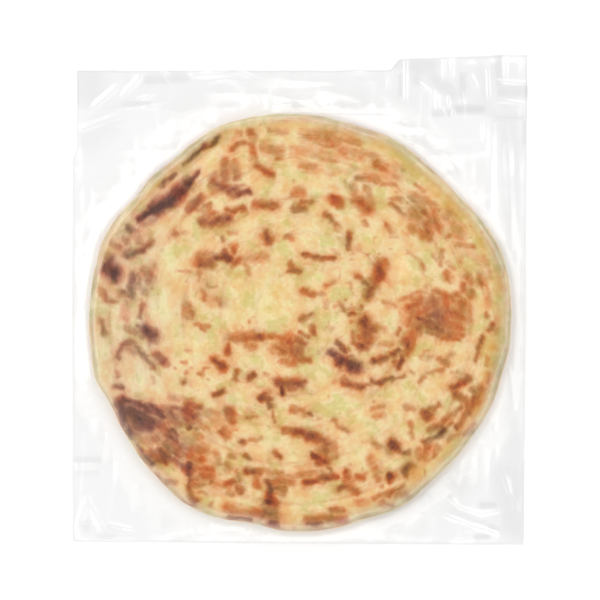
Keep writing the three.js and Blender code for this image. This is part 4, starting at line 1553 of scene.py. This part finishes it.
@dataclass(frozen=True)
class Cling:
    """Where the film clings to what it lies on, so that it shines less: 0 is clear of it, 1 is flat.

    Spans are in millimetres.

    Attributes:
        on_bread: how far it clings over the bread.
        near_rim: how much further just inside the rim.
        rim_span: how far inside the rim that starts, and where it is full.
        off_span: how far beyond the rim the film starts to come clear, and where it is clear.
        under_flap: how far it clings under the flap.
        flap_span: how far that takes to start, at the flap's free edge.
        flap: how far the flap itself clings to the bag.
        edge_span: how far in from the bag's edges the two films part.
    """

    on_bread: float = 0.35
    near_rim: float = 0.4
    rim_span: Span = (-7.0, -4.0)
    off_span: Span = (1.0, 4.0)
    under_flap: float = 0.5
    flap_span: Span = (-0.6, 0.6)
    flap: float = 0.2
    edge_span: Span = (0.0, 1.2)

    def of_bag(self, beyond: Array, under_flap: Array, inward: Array) -> Array:
        """How far the bag's upper film clings.

        Args:
            beyond: how far beyond the bread's rim each point lies, in millimetres.
            under_flap: how far it lies under the flap, from 0 to 1.
            inward: how far in from the bag's edges it lies, in millimetres.

        Returns:
            One value for each point, from 0 to 1.
        """
        on_bread = self.on_bread + self.near_rim * smooth_step(beyond, *self.rim_span)
        on_bread = on_bread * (1 - smooth_step(beyond, *self.off_span))
        return np.maximum(np.maximum(self.under_flap * under_flap, on_bread), self._at_edge(inward))

    def of_flap(self, inward: Array) -> Array:
        """How far the flap clings, by how far in from its edges each point lies."""
        return np.maximum(self.flap, self._at_edge(inward))

    def _at_edge(self, inward: Array) -> Array:
        """How far two films cling together beside the edge that joins them."""
        return 1 - smooth_step(inward, *self.edge_span)


@dataclass
class Bag:
    """A clear film bag round the bread, with its mouth folded over at the top.

    Sizes are in millimetres, and places are from the bag's middle.

    Attributes:
        drape: how its film lies.
        cling: where it clings.
        finish: its material.
        fine_step: the distance between mesh lines near the bag's edges.
        coarse_step: the distance between mesh lines over the bread.
        fine_margin: how far in from the edges the lines are close together.
        lowest: the height that the upper film stays above, and the lower film's height.
        flap_gap: how far the flap lies above the bag's upper film.
        flap_lines: how many mesh lines lie along it.
        flap_inset: how far below the bag's upper edge it ends.
        flap_along: how far up the bag its sides are set out, from -1 to 1.
        flap_half_length: half the flap's length.
        flap_waves: its rise and fall at the folded edge.
        flap_stretch: what their coordinate along the bag is multiplied by, so that they are long.
        film_thickness: between the flap's two faces, as far as it shows.
        hem_span: how far in from the edges the seal starts to fade, and where it ends.
        hem_grey: how grey the seal is, from 0 to 1.
        doubled_edge: how sharply a doubled place ends.
        doubled: where the film is folded double, so that it looks greyer.
        creases: the folds of the bag's upper film.
        pleats: the folds of the flap.
    """

    drape: Drape = Drape()
    cling: Cling = Cling()
    finish: ClearFilm = ClearFilm()
    fine_step: float = 0.6
    coarse_step: float = 1.7
    fine_margin: float = 52.0
    lowest: Span = (0.35, 0.1)
    flap_gap: float = 0.3
    flap_lines: int = 58
    flap_inset: float = 0.3
    flap_along: float = 0.9
    flap_half_length: float = 16.0
    flap_waves: Noise = Noise(47, 0.25, 7.0)
    flap_stretch: float = 0.3
    film_thickness: float = 0.04
    hem_span: Span = (0.5, 2.0)
    hem_grey: float = 0.45
    doubled_edge: float = 3.0
    doubled: Strokes = (
        (-119, 118, -119, 128, 16, 0.35), (-86, 124.5, -65, 125.5, 5, 0.5), (-120, 90, -108, 100, 15, 0.3),
        (-100, 111, -86, 111, 3, 0.4), (65, 132, 73, 132, 9, 0.5), (66, 125, 66, 124, 5, 0.5),
        (76, 125, 86, 117, 6.5, 0.5), (92, 127, 92, 116, 4, 0.6), (112, 138, 112, 122, 4, 0.65),
        (114, 118, 129, 118, 6, 0.6), (89, 108, 103, 108, 4.5, 0.75), (110, 102.5, 125, 102.5, 3.5, 0.6),
        (76, 105.5, 86, 105.5, 4, 0.5), (127, 101, 127, 89, 2.5, 0.7), (57, 127, 57, 116, 2.5, 0.5),
        (118, 98, 120, 84, 14, 0.4), (104, 126, 112, 108, 18, 0.2), (121, 80, 121, -90, 11, 0.3),
        (118, -100, 122, -128, 17, 0.5), (-40, 133, 60, 133, 5, 0.3), (46, -122, 88, -102, 15, 0.6),
        (-6, 109, 44, 106, 9, 0.5), (46, 104, 86, 76, 10, 0.45), (113, 30, 112, -40, 8, 0.6),
        (124, 0, 124, -56, 8, 0.4), (-127, -90.5, -114, -90.5, 3.5, 0.45),
        (-127, -98, -115, -98, 2.5, 0.25), (-121, -127, -121, -128, 5, 0.45),
        (-113, -133.5, -106, -133.5, 4, 0.35), (-107, -129, -100, -128, 3.5, 0.25),
        (103, -116, 110, -116, 3.5, 0.7), (107, -128, 112, -129.5, 3, 0.6), (100, -134, 106, -134, 3, 0.6),
        (97, -124, 104, -126, 3, 0.4), (126.5, -92, 126.5, -135, 4, 0.5), (86, -119, 97, -124, 3.5, 0.3),
    )
    creases: tuple[Crease, ...] = tuple(
        Crease(*sizes)
        for sizes in (
            # Upper left corner.
            (-126, 96, -103, 104, 0.9, 3.0),
            # Upper right corner, and the long soft pleats down the right side.
            (103, 101, 104, 89, 0.8, 1.6), (108, 101, 108, 50, 1.0, 3.4), (117, 98, 120, 30, 0.8, 3.4),
            (113, 20, 121, -60, 0.5, 2.4), (110, -72, 111, -87, 0.8, 1.8), (114, -96, 122, -118, 0.8, 2.6),
            # Lower right corner.
            (85, -112, 91, -117.5, 0.8, 1.7), (91, -117.5, 103, -121, 0.9, 1.8),
            (103, -121, 112, -119.5, 0.8, 1.7), (82, -122, 99, -128, 0.9, 1.9),
            (99, -128, 112, -132.5, 0.9, 1.9), (85, -136, 97, -135.5, 0.7, 1.6),
            # Lower left corner.
            (-126, -94, -114, -94, 0.4, 2.0), (-120, -112, -126, -129, 0.7, 3.0),
            (-120, -112, -112, -130, 0.7, 3.0), (-107, -127, -93, -130, 0.8, 1.8),
            (-115, -135.5, -88, -136, 0.7, 1.6),
        )
    )
    pleats: tuple[Crease, ...] = tuple(
        Crease(*sizes)
        for sizes in (
            # Left.
            (-117, 109, -103, 121, 1.0, 2.8), (-100, 116, -89, 127, 1.0, 2.8),
            (-99, 106.5, -77, 110, 0.8, 1.9), (-91, 114, -82, 115, 0.7, 1.7),
            (-79, 133, -73, 123, 0.9, 2.0), (-60, 127, -42, 128, 0.8, 2.4),
            # Middle.
            (-40, 131, -26, 126, 0.7, 2.0), (-12, 120, 18, 121, 0.7, 2.4), (24, 130, 36, 128, 0.7, 1.8),
            # Right.
            (50, 129, 50, 119, 0.7, 1.5), (59.7, 137, 59.7, 112, 0.8, 1.7), (67, 123, 74, 117, 0.8, 1.8),
            (77.5, 118, 78, 108, 0.7, 1.5), (81.5, 140, 81.5, 126, 0.8, 1.7), (86, 140, 86, 125, 0.8, 1.6),
            (84, 116.5, 84.3, 109, 0.7, 1.4), (80, 108, 83, 102.5, 0.8, 1.4),
            (86.5, 108, 86.8, 102.5, 0.8, 1.4), (92, 119, 94, 112, 0.7, 1.5), (97, 126, 100, 119, 0.9, 2.4),
            (106, 132, 107, 113, 0.7, 1.5), (116.3, 141, 116.3, 124, 0.9, 1.9),
            (110, 124, 129, 122.5, 0.7, 1.6), (112, 113, 127, 111, 0.7, 1.8),
            (124, 141, 123.4, 131, 0.7, 1.5),
        )
    )

    def build(self) -> list[bpy.types.Object]:
        """Builds the bag and its flap in their places."""
        material = self.finish.material()
        return [self._body(material), self._flap(material)]

    def _lines(self, half: float) -> Array:
        """Where the grid's lines lie, from -1 to 1: close together near the edges.

        Args:
            half: half the bag's width or length.

        Returns:
            The lines' places, in order.
        """
        # The range ends a little past the edge, so that it takes in a line that lies there.
        near_edge = np.arange(half - self.fine_margin, half + 0.01, self.fine_step)
        middle = half - self.fine_margin
        inner = np.linspace(-middle, middle, int(2 * middle / self.coarse_step))
        return np.concatenate((-near_edge[::-1], inner[1:-1], near_edge)) / half

    def _body(self, material: bpy.types.Material) -> bpy.types.Object:
        """Builds the bag round the bread.

        Args:
            material: its finish.

        Returns:
            The bag.
        """
        outline = self.drape.outline
        skin = Skin(self._lines(outline.half_width), self._lines(outline.half_length))
        piece, u, v, upper = skin.build("bag_film", material)
        x = outline.side(u, v)
        y = outline.bottom(u) * (0.5 - 0.5 * v) + outline.mouth(u) * (0.5 + 0.5 * v)
        z = self.drape.height(x, y) + sum(crease.lift(x, y) for crease in self.creases)
        upper_low, lower_low = self.lowest
        z = np.maximum(z, upper_low)
        inward = np.minimum(1 - np.abs(u), 1 - np.abs(v))
        lower_z = np.maximum(lower_low, z * np.clip(1 - inward / skin.hem, 0.0, 1.0))
        move_vertices(piece.data, x, y, np.where(upper, z, lower_z))

        inward = inward * outline.half_width
        under_flap = smooth_step(y - outline.free_edge(u), *self.cling.flap_span)
        clinging = self.cling.of_bag(self.drape.beyond(x, y), under_flap, inward)
        seal = self.hem_grey * (1 - smooth_step(inward, *self.hem_span))
        doubled = strokes_at(x, y, self.doubled, self.doubled_edge) * (1 - under_flap)
        store_values(
            piece.data,
            flat=np.where(upper, clinging, 1.0),
            seal=np.where(upper, np.maximum(seal, doubled), 0.0),
        )
        return piece

    def _flap(self, material: bpy.types.Material) -> bpy.types.Object:
        """Builds the mouth's folded-over flap, which lies on the bag.

        Args:
            material: its finish.

        Returns:
            The flap.
        """
        outline = self.drape.outline
        across = np.linspace(-1, 1, int(2 * outline.half_width / self.fine_step))
        skin = Skin(across, np.linspace(-1, 1, self.flap_lines))
        piece, u, v, upper = skin.build("bag_mouth_flap", material)
        low, high = 0.5 - 0.5 * v, 0.5 + 0.5 * v
        x = outline.side(u, np.full_like(u, self.flap_along))
        y = outline.free_edge(u) * low + (outline.mouth(u) - self.flap_inset) * high
        pleats = sum(np.maximum(pleat.lift(x, y), 0.0) for pleat in self.pleats)
        waves = self.flap_waves.at(x, y * self.flap_stretch) * high
        z = self.drape.height(x, y) + self.flap_gap + pleats + waves
        move_vertices(piece.data, x, y, np.where(upper, z, z - self.film_thickness))

        inward = np.minimum((1 - np.abs(u)) * outline.half_width, (1 - np.abs(v)) * self.flap_half_length)
        doubled = strokes_at(x, y, self.doubled, self.doubled_edge)
        store_values(
            piece.data,
            flat=np.where(upper, self.cling.of_flap(inward), 1.0),
            seal=np.where(upper, doubled, 0.0),
        )
        return piece


# --- The studio --------------------------------------------------------------------------------


@dataclass(frozen=True)
class Softbox:
    """A studio light that points at the pack.

    Attributes:
        name: what the lighting plan calls it.
        azimuth: its direction seen from above, in degrees from +X.
        elevation: its height above the horizon, in degrees.
        distance: how far from the pack it stands, in metres.
        width: in metres, measured level.
        depth: the length of its other side, in metres.
        power: in watts.
    """

    name: str
    azimuth: float
    elevation: float
    distance: float
    width: float
    depth: float
    power: float

    def build(self) -> None:
        """Adds the light to the scene."""
        lamp = bpy.data.lights.new(self.name, "AREA")
        lamp.shape, lamp.size, lamp.size_y, lamp.energy = "RECTANGLE", self.width, self.depth, self.power
        level = math.cos(math.radians(self.elevation)) * self.distance
        azimuth = math.radians(self.azimuth)
        height = math.sin(math.radians(self.elevation)) * self.distance
        place = Vector((level * math.cos(azimuth), level * math.sin(azimuth), height))
        light = bpy.data.objects.new(self.name, lamp)
        light.location = place
        light.rotation_euler = (-place).to_track_quat("-Z", "Y").to_euler()
        bpy.context.scene.collection.objects.link(light)


@dataclass(frozen=True)
class Sweep:
    """The studio's matt white floor, a painted sheet, which isn't part of the object.

    Attributes:
        side: the length of its side, in metres.
        colour: of its paint.
        roughness: of its paint, which hardly shines.
        sheen: how strongly it reflects, where 0.5 is usual.
    """

    side: float = 12.0
    colour: str = "f4f4f4"
    roughness: float = 0.9
    sheen: float = 0.1

    def build(self) -> bpy.types.Object:
        """Builds the floor.

        Returns:
            The floor.
        """
        form = bmesh.new()
        bmesh.ops.create_grid(form, x_segments=1, y_segments=1, size=self.side / 2)
        material = new_material("matt_white_sweep")
        tree = material.node_tree
        inputs = {
            "Base Color": linear(self.colour),
            "Roughness": self.roughness,
            "Specular IOR Level": self.sheen,
        }
        paint = add_node(tree, "BsdfPrincipled", inputs).outputs["BSDF"]
        add_node(tree, "OutputMaterial", {"Surface": paint})
        return finish_mesh("studio_floor", form, material)


@dataclass(frozen=True)
class LightTent:
    """White walls round the pack, brightest low down, with a dark opening for the lens overhead.

    Attributes:
        walls: their brightness for each sine of the height above the horizon.
        strength: of their light.
    """

    walls: Stops = (
        (0.0, "ffffff"), (0.2, "b0b0b0"), (0.5, "888888"), (0.75, "868686"), (0.9, "8c8c8c"),
        (0.955, "585858"), (0.98, "161616"),
    )
    strength: float = 3.0

    def build(self) -> None:
        """Makes the tent the scene's surroundings."""
        world = bpy.data.worlds.new("light_tent")
        world.use_nodes = True
        bpy.context.scene.world = world
        tree = world.node_tree
        tree.nodes.clear()
        direction = add_node(tree, "TexCoord").outputs["Generated"]
        upwards = add_node(tree, "SeparateXYZ", {0: direction}).outputs["Z"]
        walls = add_node(tree, "ValToRGB", {"Fac": upwards}, self.walls).outputs["Color"]
        glow = add_node(tree, "Background", {"Color": walls, "Strength": self.strength}).outputs[0]
        add_node(tree, "OutputWorld", {"Surface": glow})


@dataclass(frozen=True)
class Studio:
    """A white floor, soft lights and a camera straight above the pack.

    Attributes:
        field_width: how wide a strip of the floor the picture shows, in millimetres.
        camera_height: in metres.
        film_layers: how many faces of clear film light may pass through.
        sweep: the floor.
        tent: the walls.
        lights: the softboxes.
    """

    field_width: float = 339.6
    camera_height: float = 2.0
    film_layers: int = 32
    sweep: Sweep = Sweep()
    tent: LightTent = LightTent()
    lights: tuple[Softbox, ...] = (
        Softbox("key", 158, 50, 2.0, 2.0, 0.8, 12.0),
        Softbox("back", 70, 50, 2.0, 1.2, 0.7, 5.0),
        Softbox("fill", 285, 48, 2.0, 1.4, 0.7, 4.0),
        Softbox("side", 5, 46, 2.0, 1.6, 0.7, 4.0),
    )

    def build(self) -> None:
        """Builds everything round the pack."""
        floor = self.sweep.build()
        self.tent.build()
        self._camera()
        for light in self.lights:
            light.build()
        scene = bpy.context.scene
        scene.view_settings.view_transform = "Standard"
        scene.cycles.transparent_max_bounces = self.film_layers

    def _camera(self) -> None:
        """A long lens looking straight down, with +Y at the top of the picture."""
        lens = bpy.data.cameras.new("overhead")
        lens.lens = lens.sensor_width * self.camera_height / (self.field_width * MM)
        camera = bpy.data.objects.new("overhead", lens)
        camera.location = (0.0, 0.0, self.camera_height)
        bpy.context.scene.collection.objects.link(camera)
        bpy.context.scene.camera = camera


def main() -> None:
    """Builds the bread, its bag and the studio."""
    logging.basicConfig(level=logging.INFO, format="%(name)s: %(message)s")
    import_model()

    bread = Bread().build()
    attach(bread, "root")
    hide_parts("katmer_pack")
    LOG.info("%s: %d faces", bread.name, len(bread.data.polygons))

    for film in Bag().build():
        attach(film, "root")
        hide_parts("katmer_pack")
        LOG.info("%s: %d faces", film.name, len(film.data.polygons))

    Studio().build()


if __name__ == "__main__":
    main()
